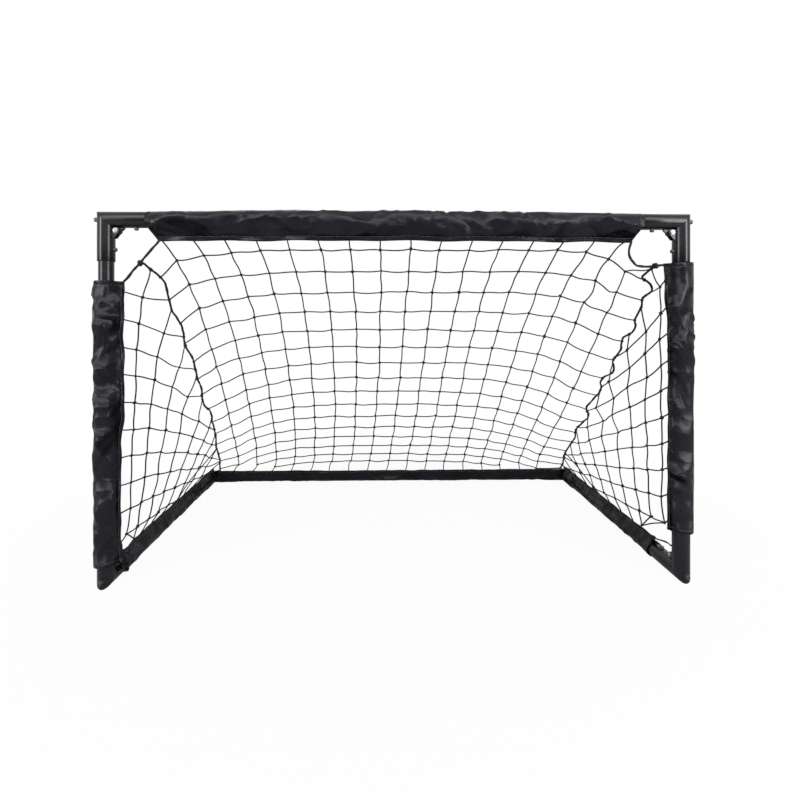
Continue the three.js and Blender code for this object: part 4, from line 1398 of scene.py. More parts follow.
@dataclass
class Sleeve:
    """A nylon sleeve over a tube, with the hem strip that holds the net."""

    node: str
    body: Body
    start: Vector
    end: Vector
    hem: Vector
    radius: Table
    core: Table
    reach: float
    seed: float
    wide: float = 1.0
    reach_shares: Table = ((0, 1), (1, 1))
    insets: tuple[float, float] = (0.0, 0.0)
    lift: float = 0.0
    crumple: float = 1.6 * MM
    floor: bool = False
    mitres: tuple[bool, bool] = (False, False)
    seam: float = 6 * MM
    bumps: Sequence[tuple[float, Vector, float]] = ()
    slit: tuple[Vector, float] | None = None
    ridges: Sequence[Ridge] = ()
    zones: Table = ((0, 0.8), (1, 0.8))
    facing: float = -1.0
    pull: float = 0.1
    pucker: float = 11.5 * MM
    half: float = 1.35 * MM
    cloth: float = 0.7 * MM
    play: float = 0.25 * MM
    step: float = 5 * MM
    hem_wave: float = 1.3 * MM
    hem_sway: float = 2.56 * MM
    mitre_run: float = 70 * MM
    mitre_gap: float = 0.3 * MM
    above_floor: float = 0.4 * MM
    bump_size: float = 8 * MM
    seam_groove: float = 0.5 * MM
    end_lip: float = 0.35 * MM
    seam_margin: float = 4 * MM

    def __post_init__(self) -> None:
        """Works out the sleeve's axes, its length and the way to the goal's middle."""
        self.axis = (self.end - self.start).normalized()
        self.length = (self.end - self.start).length
        self.way = self.hem.normalized()
        self.across = self.axis.cross(self.way)
        middle = Vector((0, (PLAN.front_y + PLAN.back_y) / 2, PLAN.ground_z))
        to = middle - (self.start + self.end) / 2
        to = to - self.axis * to.dot(self.axis)
        self.corner_side = Vector((to.x, to.y, 0)).normalized()

    def wave(self, far: float) -> float:
        """A slow sum of sines from -1 to 1.

        Args:
            far: distance along the sleeve.
        Returns:
            The sum.
        """
        turns = far / self.length * math.pi * 2
        phase = self.seed * math.pi * 2
        return (math.sin(turns * 5.1 + phase) + math.sin(turns * 8.3 + phase * 2.7)) / 2

    def reach_at(self, far: float, root: float) -> float:
        """How far the hem's free edge lies from the axis.

        Args:
            far: distance along the sleeve.
            root: the reach where the hem starts.
        Returns:
            The distance.
        """
        share = far / self.length
        sag = self.lift * (1 - (2 * share - 1) ** 2)
        edge = min(far - self.insets[0], self.length - self.insets[1] - far)
        flutter = self.hem_wave * self.wave(far) * smooth(edge / (20 * MM))
        full = self.reach * eased(self.reach_shares, share) - sag + flutter
        for inset, place in zip(self.insets, (far, self.length - far)):
            if inset and place < inset:
                full = root + (full - root) * (0.04 + 0.96 * place / inset)
        return max(full, root + 0.4 * MM)

    def crumpled(
        self, far: float, around: float, rates: tuple[float, float, float, float], row: float
    ) -> float:
        """Noise over the flat cloth, slanted by how its rates mix, from -1 to 1.

        Args:
            far: distance along the sleeve.
            around: distance round it.
            rates: far and around's rates in each direction.
            row: which noise.
        Returns:
            The noise.
        """
        a, b, c, d = rates
        place = (far * a + around * b, around * c + far * d, self.seed * 19.7 + row)
        return noise.noise(Vector(place))

    def ripple(self, far: float, rates: tuple[float, float, float]) -> float:
        """Noise along the sleeve, from -1 to 1."""
        rate, salt, row = rates
        return noise.noise(Vector((far * rate, self.seed * salt, row)))

    def crease(self, far: float, around: float, h: float, front: bool) -> float:
        """How far the cloth stands out at a point, as a share of the crumple.

        Args:
            far: distance along the sleeve.
            around: distance round it.
            h: how far it lies towards the hem.
            front: whether it faces the mouth.
        Returns:
            The height, about -1 to 1.
        """
        broad = self.crumpled(far, around, BROAD_FOLDS, 0)
        small = self.crumpled(far, around, SMALL_FOLDS, 5)
        ridge = max(1 - abs(self.crumpled(far, around, SKEW_FOLDS, 7)) * 3.6, 0) ** 1.3
        pleat = max(1 - abs(self.crumpled(far, around, BACK_FOLDS, 3)) * 3.9, 0) ** 1.3
        strong = smooth(0.5 + 1.5 * self.crumpled(far, around, FOLD_ZONES, 11))
        out = 0.75 * broad + strong * (1.1 * ridge + 0.9 * pleat - 0.5) + 0.22 * small
        out *= eased(self.zones, far / self.length)
        for fold in self.ridges if front else ():
            start, run = Vector(fold.start), Vector(fold.end) - Vector(fold.start)
            here = Vector((far, h)) - start
            t = min(max(here.dot(run) / run.length_squared, 0), 1)
            off = (here - run * t).length / fold.width
            out += fold.height * math.exp(-off * off) * (1 - 0.75 * t)
        return out

    def section(self, far: float) -> list[Spot]:
        """The plain section at a distance along the sleeve, a spot for each column.

        Args:
            far: distance along the sleeve.
        Returns:
            The spots, in the columns' order.
        """
        radius = eased(self.radius, far)
        tall = radius * self.wide
        reach = self.reach_at(far, tall * 1.02)
        band = min(self.seam, (reach - tall) * 0.8)
        foot = reach - band
        turn = math.acos(min(tall / max(foot, tall * 1.03), 0.97))
        pucker = 1 + 0.45 * self.ripple(far, PUCKER)
        pinch = 0.9 + 0.9 * abs(math.sin(math.pi * far / self.pucker)) * pucker
        slack = self.pull + 0.12 * self.ripple(far, SLACK)
        spots = []
        for part, share, sign in COLUMNS:
            if part is Part.TIP:
                spots.append(Spot(reach, 0.0, 1.0, 0.0))
            elif part is Part.HEM:
                thick = self.half * (1 + 0.2 * (pucker - 1))
                if share == HEM_SEAM:
                    thick = self.half * pinch
                elif share == HEM_SHARES[-1]:
                    thick *= 0.5
                spots.append(Spot(reach - band * share, sign * thick, 0.0, sign))
            elif part is Part.DROP:
                h = foot + (tall * math.cos(turn) - foot) * share
                w = self.half + (radius * math.sin(turn) - self.half) * share
                w *= 1 - slack * math.sin(math.pi * share)
                spots.append(Spot(h, sign * w, 0.5, sign * 0.87))
            else:
                lean = turn + (2 * math.pi - 2 * turn) * share
                up, out = math.cos(lean), math.sin(lean)
                spots.append(Spot(tall * up, radius * out, up, out))
        steps = [math.hypot(b.h - a.h, b.w - a.w) for a, b in zip(spots, spots[1:])]
        around = list(accumulate(steps, initial=0.0))
        return [spot._replace(around=way - around[-1] / 2) for spot, way in zip(spots, around)]

    def place(self, far: float, h: float, w: float) -> Vector:
        """A point of the sleeve, with its mitred ends and the floor allowed for.

        Args:
            far: distance along the sleeve.
            h: distance from the axis towards the hem.
            w: distance across.
        Returns:
            The point.
        """
        aside = self.way * h + self.across * w
        begin = self.corner_side.dot(aside) + self.mitre_gap
        run, left = far, self.length - far
        if self.mitres[0] and far < self.mitre_run:
            run = begin + (self.mitre_run - begin) * far / self.mitre_run
        if self.mitres[1] and left < self.mitre_run:
            run = self.length - begin - (self.mitre_run - begin) * left / self.mitre_run
        point = self.start + aside + self.axis * run
        if self.floor:
            point.z = max(point.z, self.above_floor)
        if self.slit:
            centre, top = self.slit
            beside = (point - centre) - Z * (point - centre).z
            facing = smooth((beside.normalized().dot(Y) - 0.72) / 0.2)
            point.z = max(point.z, self.start.z + (top - self.start.z) * facing)
        return point

    def push(self, far: float, column: Column, spot: Spot) -> float:
        """How far the cloth stands out of its plain section at a spot.

        Args:
            far: distance along the sleeve.
            column: the spot's column.
            spot: the spot.
        Returns:
            The distance.
        """
        place = min(far, self.length - far)
        calm = 0.35 + 0.65 * smooth(place / (30 * MM))
        arc = column.part is Part.ARC
        soft = {Part.ARC: 1.0, Part.DROP: 0.3 + 0.7 * column.share}.get(column.part, 0.1)
        front = spot.w * self.facing > 0 or arc and abs(spot.w) < 1 * MM
        out = self.crumple * calm * soft * self.crease(far, spot.around, spot.h, front)
        out -= self.seam_groove if abs(place - END_SEAM) < 0.2 * MM else 0.0
        out -= self.end_lip if place < 0.5 * MM else 0.0
        toward = self.way * spot.nh + self.across * spot.nw
        for bump_far, bump_way, high in self.bumps:
            near = (far - bump_far) ** 2 / self.bump_size**2
            out += high * math.exp(-near) * max(toward.dot(bump_way), 0) ** 6
        return out

    def rings(self, far: float) -> tuple[list[Vector], list[Vector], list[tuple[float, float]]]:
        """The cloth at one distance along the sleeve.

        Args:
            far: the distance.
        Returns:
            The outer points, the inner points and each point's place on the flat cloth.
        """
        least = eased(self.core, far) + self.cloth + self.play
        sway = self.hem_sway * self.ripple(far, SWAY)
        section = self.section(far)
        reach, foot = section[0].h, section[FOOT_COLUMN].h
        outer, inner = [], []
        for column, spot in zip(COLUMNS, section):
            push = self.push(far, column, spot)
            h, w = spot.h + spot.nh * push, spot.w + spot.nw * push
            lean = sway * smooth((spot.h - reach * 0.55) / (reach * 0.45)) if spot.h > 0 else 0.0
            if column.part is Part.ARC:
                grow = max(least / math.hypot(h, w), 1.0)
                h, w = h * grow, w * grow
                thin = 1 - self.cloth / math.hypot(h, w)
                inner.append(self.place(far, h * thin, w * thin))
            else:
                inner.append(self.place(far, min(spot.h, foot) - 1.2 * MM, w * 0.55))
            outer.append(self.place(far, h, w + lean))
        return outer, inner, [(far, spot.around) for spot in section]

    def stations(self) -> list[float]:
        """Where the rings lie along the sleeve: evenly, and close together at the ends.

        Returns:
            The distances, in order.
        """
        count = max(8, round(self.length / self.step))
        clear = 11 * MM
        even = (self.length * k / count for k in range(count + 1))
        found = [far for far in even if clear < far < self.length - clear]
        found += [*END_MARKS, *(self.length - mark for mark in END_MARKS)]
        return sorted({round(far, 6) for far in found})

    def build(self) -> None:
        stations = self.stations()
        shell = Shell()
        parts = [self.rings(far) for far in stations]
        outer = [shell.ring(part[0]) for part in parts]
        inner = [shell.ring(part[1]) for part in parts]
        layout = [place for part in parts for place in part[2]] * 2
        shell.skin(outer)
        shell.skin([ring[::-1] for ring in inner])
        shell.join(outer[0][::-1], inner[0][::-1])
        shell.join(outer[-1], inner[-1])
        made = shell.piece(self.node + "_cloth", Slot.NYLON, 60)
        sheet = made.data.uv_layers.new(name="cloth")
        for loop in made.data.loops:
            sheet.data[loop.index].uv = layout[loop.vertex_index]
        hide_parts(self.node)
        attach(made, self.body.value)
        sewn = self.stitches(shell, outer, stations)
        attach(sewn, self.body.value)
        middle = eased(self.radius, self.length / 2)
        girth = 2 * math.pi * middle * (1 + self.wide) / 2
        flat_width = girth + 2 * max(self.reach - middle * self.wide, 0)
        tubes = [self.node.replace("sleeve", "tube")] if "post" in self.node else []

    def stitches(
        self, shell: Shell, outer: list[list[int]], stations: list[float]
    ) -> bpy.types.Object:
        """Sews the hem on both faces, and each end that isn't mitred.

        Args:
            shell: the cloth's points.
            outer: its outer rings.
            stations: the rings' distances.
        Returns:
            The stitches as one piece.
        """
        first = self.insets[0] + self.seam_margin
        last = self.length - self.insets[1] - self.seam_margin
        hem = [ring for ring, far in zip(outer, stations) if first < far < last]
        lines = [
            [shell.points[ring[column]] + self.across * aside for ring in hem]
            for column, aside in ((SEAM_COLUMN, 0.45 * MM), (-SEAM_COLUMN, -0.45 * MM))
        ]
        for mitred, target in zip(self.mitres, (END_SEAM, self.length - END_SEAM)):
            if mitred:
                continue
            nearest = min(range(len(stations)), key=lambda i: abs(stations[i] - target))
            centre = self.start + self.axis * stations[nearest]
            loop = []
            for index in outer[nearest][FOOT_COLUMN + 1 : -FOOT_COLUMN]:
                away = shell.points[index] - centre
                away -= self.axis * away.dot(self.axis)
                loop.append(shell.points[index] + away.normalized() * 0.4 * MM)
            lines.append(loop)
        edges, count = [], 0
        for line in lines:
            edges += [(count + k, count + k + 1) for k in range(len(line) - 1)]
            count += len(line)
        seed = bpy.data.meshes.new(self.node + "_seams")
        seed.from_pydata([tuple(p) for line in lines for p in line], edges, [])
        made = STITCHES.grow(self.node + "_stitches", seed, Slot.NYLON)
        made.data.materials[0] = FINISH.take(SewingThread())
        return made


def folds(*rows: tuple[float, float, float, float, float, float]) -> list[Ridge]:
    """Ridges from rows of far, h, far, h, width and height, with h and width in mm."""
    return [Ridge((a, b * MM), (c, d * MM), width * MM, high) for a, b, c, d, width, high in rows]


def mirrored(table: Table, length: float) -> Table:
    """A table for one end, led on to run the same way from the other end."""
    return [*table, *((length - far, value) for far, value in reversed(table))]


def crossbar_sleeve() -> Sleeve:
    """The sleeve on the crossbar, broad in the middle and close at the ends.

    Returns:
        The sleeve.
    """
    reach = PLAN.post_x - LEG_END
    middle = Vector((0, PLAN.front_y, PLAN.bar_z))
    length = 2 * reach
    shares = ((0, 0.78), (0.1, 0.86), (0.3, 0.96), (0.5, 1), (0.7, 0.96), (0.9, 0.85), (1, 0.78))
    return Sleeve(
        node="crossbar_sleeve",
        body=Body.FRONT,
        start=middle - X * reach,
        end=middle + X * reach,
        hem=-Z,
        radius=[(share * length, 21 * MM * full) for share, full in shares],
        core=[(0, TUBE_CORE), (length, TUBE_CORE)],
        reach=43 * MM,
        seed=0.13,
        insets=(20 * MM, 20 * MM),
        lift=2.6 * MM,
        crumple=3.0 * MM,
        seam=9.5 * MM,
        step=3 * MM,
        half=1.6 * MM,
        pull=-0.05,
        zones=(
            *((0, 0.4), (0.12, 0.4), (0.2, 1.25), (0.32, 1.25), (0.38, 0.5), (0.54, 0.5)),
            *((0.6, 0.8), (0.7, 0.8), (0.74, 0.3), (1, 0.5)),
        ),
        ridges=folds(
            (0.012, 10, 0.12, 40, 4, 1.2),
            (0.015, 24, 0.09, 42, 3, 1.0),
            (0.2, -8, 0.225, 24, 5, 1.1),
            (0.235, -4, 0.2, 34, 4, 0.9),
            (0.255, 0, 0.33, 34, 4, 1.2),
            (0.58, -16, 0.54, 12, 4, 1.2),
            (0.6, -18, 0.66, 24, 3.5, -1.4),
            (0.755, -19, 0.75, 12, 3.5, -1.2),
            (0.985, 6, 0.86, 36, 5, 1.6),
            (0.99, 20, 0.88, 42, 3.5, -1.2),
            (0.93, -12, 0.9, 10, 5, 0.9),
        ),
    )


def post_sleeve(side: Side, low: float, high: float, **own: Any) -> Sleeve:
    """A post's sleeve.

    Args:
        side: the post's side.
        low: the height of its lower end.
        high: the height of its upper end.
        own: what differs from the other post's sleeve.
    Returns:
        The sleeve.
    """
    foot, turn = PLAN.foot(side), math.radians(10)
    return Sleeve(
        node=f"{side.label}_post_sleeve",
        body=Body.FRONT,
        start=Vector((foot.x, foot.y, low)),
        end=Vector((foot.x, foot.y, high)),
        hem=side.inward * math.cos(turn) + Y * math.sin(turn),
        radius=((0, POST_HALF), (high - low, POST_HALF)),
        wide=POST_TALL / POST_HALF,
        reach=33 * MM,
        step=4 * MM,
        **own,
    )


def left_post_sleeve() -> Sleeve:
    """The left post's sleeve, slipped down over its bracket leg.

    Returns:
        The sleeve.
    """
    foot, low, high = PLAN.foot(Side.LEFT), 43 * MM, PLAN.bar_z - LEG_END - 38.7 * MM
    over, tall = foot.z + LEG_END - low, high - low
    return post_sleeve(
        Side.LEFT,
        low,
        high,
        core=((0, LEG_CORE), (over, LEG_CORE), (over + 6 * MM, TUBE_CORE), (tall, TUBE_CORE)),
        seed=0.41,
        reach_shares=(
            *((0, 0.94), (0.12, 0.82), (0.42, 0.84), (0.52, 1), (0.7, 1.02), (0.8, 0.94)),
            *((0.88, 1), (1, 1)),
        ),
        crumple=3.2 * MM,
        zones=((0, 0.4), (0.25, 0.4), (0.4, 0.8), (0.6, 1.2), (0.95, 1.5), (1, 0.8)),
        ridges=folds(
            (0.555, 8, 0.47, -20, 6, 1.5),
            (0.5, 14, 0.42, -12, 6, -1.2),
            (0.46, 26, 0.4, -18, 6, 1.6),
            (0.41, -16, 0.34, 14, 5, 1.3),
            (0.34, 22, 0.27, -6, 5, -1.0),
            (0.26, 16, 0.2, -14, 3.5, 1.1),
            (0.2, 18, 0.25, -12, 3.5, 0.9),
            (0.07, 16, 0.03, -8, 3, 1.0),
        ),
        bumps=[(foot.z + 60 * MM - low, Y, 4.6 * MM)],
        slit=(Vector((foot.x, foot.y, low)), low + 12.5 * MM),
    )


def right_post_sleeve() -> Sleeve:
    """The right post's sleeve, which lies between its bracket legs.

    Returns:
        The sleeve.
    """
    low, high = PLAN.ground_z + LEG_END, PLAN.bar_z - LEG_END
    return post_sleeve(
        Side.RIGHT,
        low,
        high,
        core=((0, TUBE_CORE), (high - low, TUBE_CORE)),
        seed=0.78,
        reach_shares=((0, 0.8), (0.3, 0.76), (0.7, 0.76), (0.85, 0.88), (1, 1.02)),
        crumple=2.0 * MM,
        facing=1.0,
        zones=(
            *((0, 0.4), (0.14, 0.5), (0.2, 1.1), (0.3, 0.6), (0.5, 1.0), (0.8, 1.1)),
            *((0.86, 0.2), (1, 0.2)),
        ),
        ridges=folds(
            (0.46, 20, 0.4, -12, 5, 2.0),
            (0.42, 22, 0.35, -6, 5, -2.0),
            (0.38, 18, 0.31, -14, 5, 2.4),
            (0.32, 20, 0.27, -8, 4, -1.6),
            (0.27, 20, 0.22, -6, 4, 1.4),
            (0.125, 24, 0.11, -8, 4, 3.0),
            (0.11, 26, 0.1, 0, 4, -3.0),
            (0.095, 26, 0.085, 4, 4, 1.8),
        ),
    )


def ground_sleeve(side: Side) -> Sleeve:
    """A side tube's sleeve. The left one starts on its bracket leg.

    Args:
        side: the tube's side.
    Returns:
        The sleeve.
    """
    left = side is Side.LEFT
    foot, turn = PLAN.foot(side), math.radians(10)
    begin = 45 * MM if left else LEG_END
    first = Vector((foot.x, foot.y + begin, foot.z))
    last = Vector((foot.x, PLAN.back_y, foot.z))
    run = (last - first).length
    cover = run - ELBOW_END
    size = [(cover - 20 * MM, SLIM), (cover - 1 * MM, FULL), (run, FULL)]
    core = [(cover - 4 * MM, TUBE_CORE), (cover - 1 * MM, LEG_CORE), (run, LEG_CORE)]
    if left:
        under = LEG_END - begin
        size = [(0, FULL), (under + 1 * MM, FULL), (under + 20 * MM, SLIM)] + size
        core = [(0, LEG_CORE), (under + 1 * MM, LEG_CORE), (under + 5 * MM, TUBE_CORE)] + core
    else:
        size = [(0, SLIM * 1.14), (14 * MM, SLIM * 1.1), (30 * MM, SLIM)] + size
        core = [(0, TUBE_CORE)] + core
    return Sleeve(
        node=f"{side.label}_ground_sleeve",
        body=Body.BASE,
        start=first,
        end=last,
        hem=Z * math.cos(turn) + side.inward * math.sin(turn),
        radius=size,
        core=core,
        reach=32.5 * MM,
        seed=0.22 if left else 0.59,
        insets=(40 * MM if left else 0.0, 0.0),
        crumple=1.2 * MM,
        floor=True,
        mitres=(False, True),
        zones=((0, 1), (0.5, 1.3), (1, 1)),
        bumps=[(60 * MM - begin, Z, 3.9 * MM)] if left else [],
    )


def back_sleeve() -> Sleeve:
    """The back tube's sleeve, from elbow to elbow.

    Returns:
        The sleeve.
    """
    reach, turn = PLAN.post_x, math.radians(45)
    middle = Vector((0, PLAN.back_y, PLAN.ground_z))
    size = [(0, FULL), (ELBOW_END + 1 * MM, FULL), (ELBOW_END + 20 * MM, SLIM)]
    core = [(0, LEG_CORE), (ELBOW_END + 1 * MM, LEG_CORE), (ELBOW_END + 5 * MM, TUBE_CORE)]
    return Sleeve(
        node="back_sleeve",
        body=Body.BASE,
        start=middle - X * reach,
        end=middle + X * reach,
        hem=Z * math.cos(turn) - Y * math.sin(turn),
        radius=mirrored(size, 2 * reach),
        core=mirrored(core, 2 * reach),
        reach=37 * MM,
        seed=0.91,
        crumple=1.4 * MM,
        floor=True,
        mitres=(True, True),
        zones=((0, 1.2), (0.3, 0.9), (0.7, 1.2), (1, 1.2)),
    )


def make_sleeves() -> None:
    """Makes the six sleeves."""
    crossbar_sleeve().build()
    for side, post in ((Side.LEFT, left_post_sleeve()), (Side.RIGHT, right_post_sleeve())):
        post.build()
        ground_sleeve(side).build()
    back_sleeve().build()


# Ropes and nets


RING_REACH = 2.08
CORD_CREASE = 80.0


class Lattice:
    """The knots and strings of a packed net or rope, read from its solid."""

    def __init__(self, node: str, reach: float) -> None:
        """Groups the solid's points that lie within reach along its edges.

        Args:
            node: the solid's name.
            reach: edges shorter than this lie inside one knot or ring.
        """
        work = bmesh.new()
        work.from_mesh(frame["nodes"][node].data)
        bmesh.ops.remove_doubles(work, verts=work.verts, dist=0.01 * MM)
        work.verts.index_update()
        parent = list(range(len(work.verts)))

        def root(i: int) -> int:
            """The group that a point belongs to.

            Args:
                i: the point.
            Returns:
                The group's first point.
            """
            while parent[i] != i:
                parent[i] = parent[parent[i]]
                i = parent[i]
            return i

        for edge in work.edges:
            if edge.calc_length() < reach:
                parent[root(edge.verts[0].index)] = root(edge.verts[1].index)
        groups: dict[int, list[Vector]] = {}
        for vert in work.verts:
            groups.setdefault(root(vert.index), []).append(vert.co.copy())
        keys = sorted(groups)
        order = {key: k for k, key in enumerate(keys)}
        self.points = [sum(groups[key], Vector()) / len(groups[key]) for key in keys]
        self.counts = [len(groups[key]) for key in keys]
        pairs = set()
        for edge in work.edges:
            a, b = (order[root(v.index)] for v in edge.verts)
            if a != b:
                pairs.add((min(a, b), max(a, b)))
        self.links = sorted(pairs)
        work.free()

    def chain(self) -> list[Vector]:
        """The points in order from one end of a rope to the other.

        Returns:
            The points.
        """
        near: dict[int, list[int]] = {}
        for a, b in self.links:
            near.setdefault(a, []).append(b)
            near.setdefault(b, []).append(a)
        here = min((k for k in near if len(near[k]) == 1), key=lambda k: self.points[k].z)
        found, last = [here], -1
        while True:
            onward = [k for k in near[here] if k != last and k not in found]
            if not onward:
                return [self.points[k] for k in found]
            last, here = here, onward[0]
            found.append(here)


def finer(points: Sequence[Vector], parts: int) -> list[Vector]:
    """A smooth line through the points, with each stretch cut into parts.

    Args:
        points: the points.
        parts: how many parts a stretch has.
    Returns:
        The line.
    """
    out = []
    padded = [points[0] * 2 - points[1], *points, points[-1] * 2 - points[-2]]
    for a, b, c, d in zip(padded, padded[1:], padded[2:], padded[3:]):
        square, cube = a * 2 - b * 5 + c * 4 - d, b * 3 - a - c * 3 + d
        for t in (k / parts for k in range(parts)):
            out.append(0.5 * (b * 2 + (c - a) * t + square * t * t + cube * t**3))
    return [*out, points[-1].copy()]


def reaches(line: Sequence[Vector]) -> list[float]:
    """How far along a line each of its points lies."""
    return list(accumulate(((b - a).length for a, b in zip(line, line[1:])), initial=0.0))


@dataclass
class Rope:
    """A free cord with its braid, laid along its solid's middle line."""

    node: str
    solid: float
    radius: float
    leads: tuple[Vector | float, Vector | float] = (0.0, 0.0)
    parts: int = 3
    sides: int = 12
    kink: float = 1.5 * MM
    lumps: float = 0.45
    taper: float = 0.72
    rise: float = 0.0
    sway: dict[int, Vector] = field(default_factory=dict)
    with_pieces: list[bpy.types.Object] = field(default_factory=list)

    def route(self) -> list[Vector]:
        """The solid's middle line, led on into what holds its ends, with small kinks.

        Returns:
            The line.
        """
        knots = Lattice(self.node, self.solid * RING_REACH).chain()
        knots = [p + Z * self.rise * smooth(k / (len(knots) - 1)) for k, p in enumerate(knots)]
        for k, aside in self.sway.items():
            knots[k] = knots[k] + aside
        for k, inner, lead in ((0, 1, self.leads[0]), (-1, -2, self.leads[1])):
            if not isinstance(lead, Vector):
                if not lead:
                    continue
                lead = knots[k] + (knots[k] - knots[inner]).normalized() * lead
            knots.insert(0 if k == 0 else len(knots), lead)
        line = finer(knots, self.parts)
        for k, point in enumerate(line):
            here = point * 62 + Vector((self.solid * 900, 0, 0))
            drift = Vector([noise.noise(here + Vector((0, 0, 31.7 * axis))) for axis in range(3)])
            line[k] = point + drift * self.kink * min(k, len(line) - 1 - k, 4) / 4
        return line

    def build(self) -> tuple[bpy.types.Object, list[Vector]]:
        """Returns:
            The piece and the line it follows.
        """
        line = self.route()
        sizes = []
        for reach in reaches(line):
            lump = noise.noise(Vector((reach * 85, self.solid * 777, 0)))
            sizes.append(self.radius * (1 + self.lumps * lump))
        sizes[0] *= self.taper
        sizes[-1] *= self.taper
        shell = Shell()
        length = shell.cord(line, sizes, self.sides)
        made = shell.piece(self.node + "_braid", Slot.ROPE, CORD_CREASE)
        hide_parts(self.node)
        tuple(line[-1])
        self.radius * 2
        [tuple(p) for p in line]
        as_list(self.with_pieces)
        return made, line


def tube(name: str, line: Sequence[Vector], thick: float, sides: int) -> bpy.types.Object:
    """Makes an even cord of a radius and a number of sides along a line.

    Args:
        name: the piece's name.
        line: its middle line.
        thick: its radius.
        sides: how many points a ring has.
    Returns:
        The piece.
    """
    shell = Shell()
    shell.cord(line, [thick] * len(line), sides)
    return shell.piece(name, Slot.ROPE, CORD_CREASE)


def coil(
    name: str, centre: Vector, axis: Vector, radius: float, thick: float, turns: float = 2.25
) -> bpy.types.Object:
    """Makes a hitch: a few turns of cord round another.

    Args:
        name: the piece's name.
        centre: its middle.
        axis: the direction of the cord inside it.
        radius: from that cord's middle to this one's.
        thick: this cord's radius.
        turns: how often it goes round.
    Returns:
        The piece.
    """
    u, v = square_to(axis)
    steps = round(turns * 16)
    line = []
    for k in range(steps + 1):
        turn = 2 * math.pi * turns * k / steps
        far = (k / steps - 0.5) * turns * thick * 1.9
        line.append(centre + axis * far + (u * math.cos(turn) + v * math.sin(turn)) * radius)
    return tube(name, line, thick, 8)


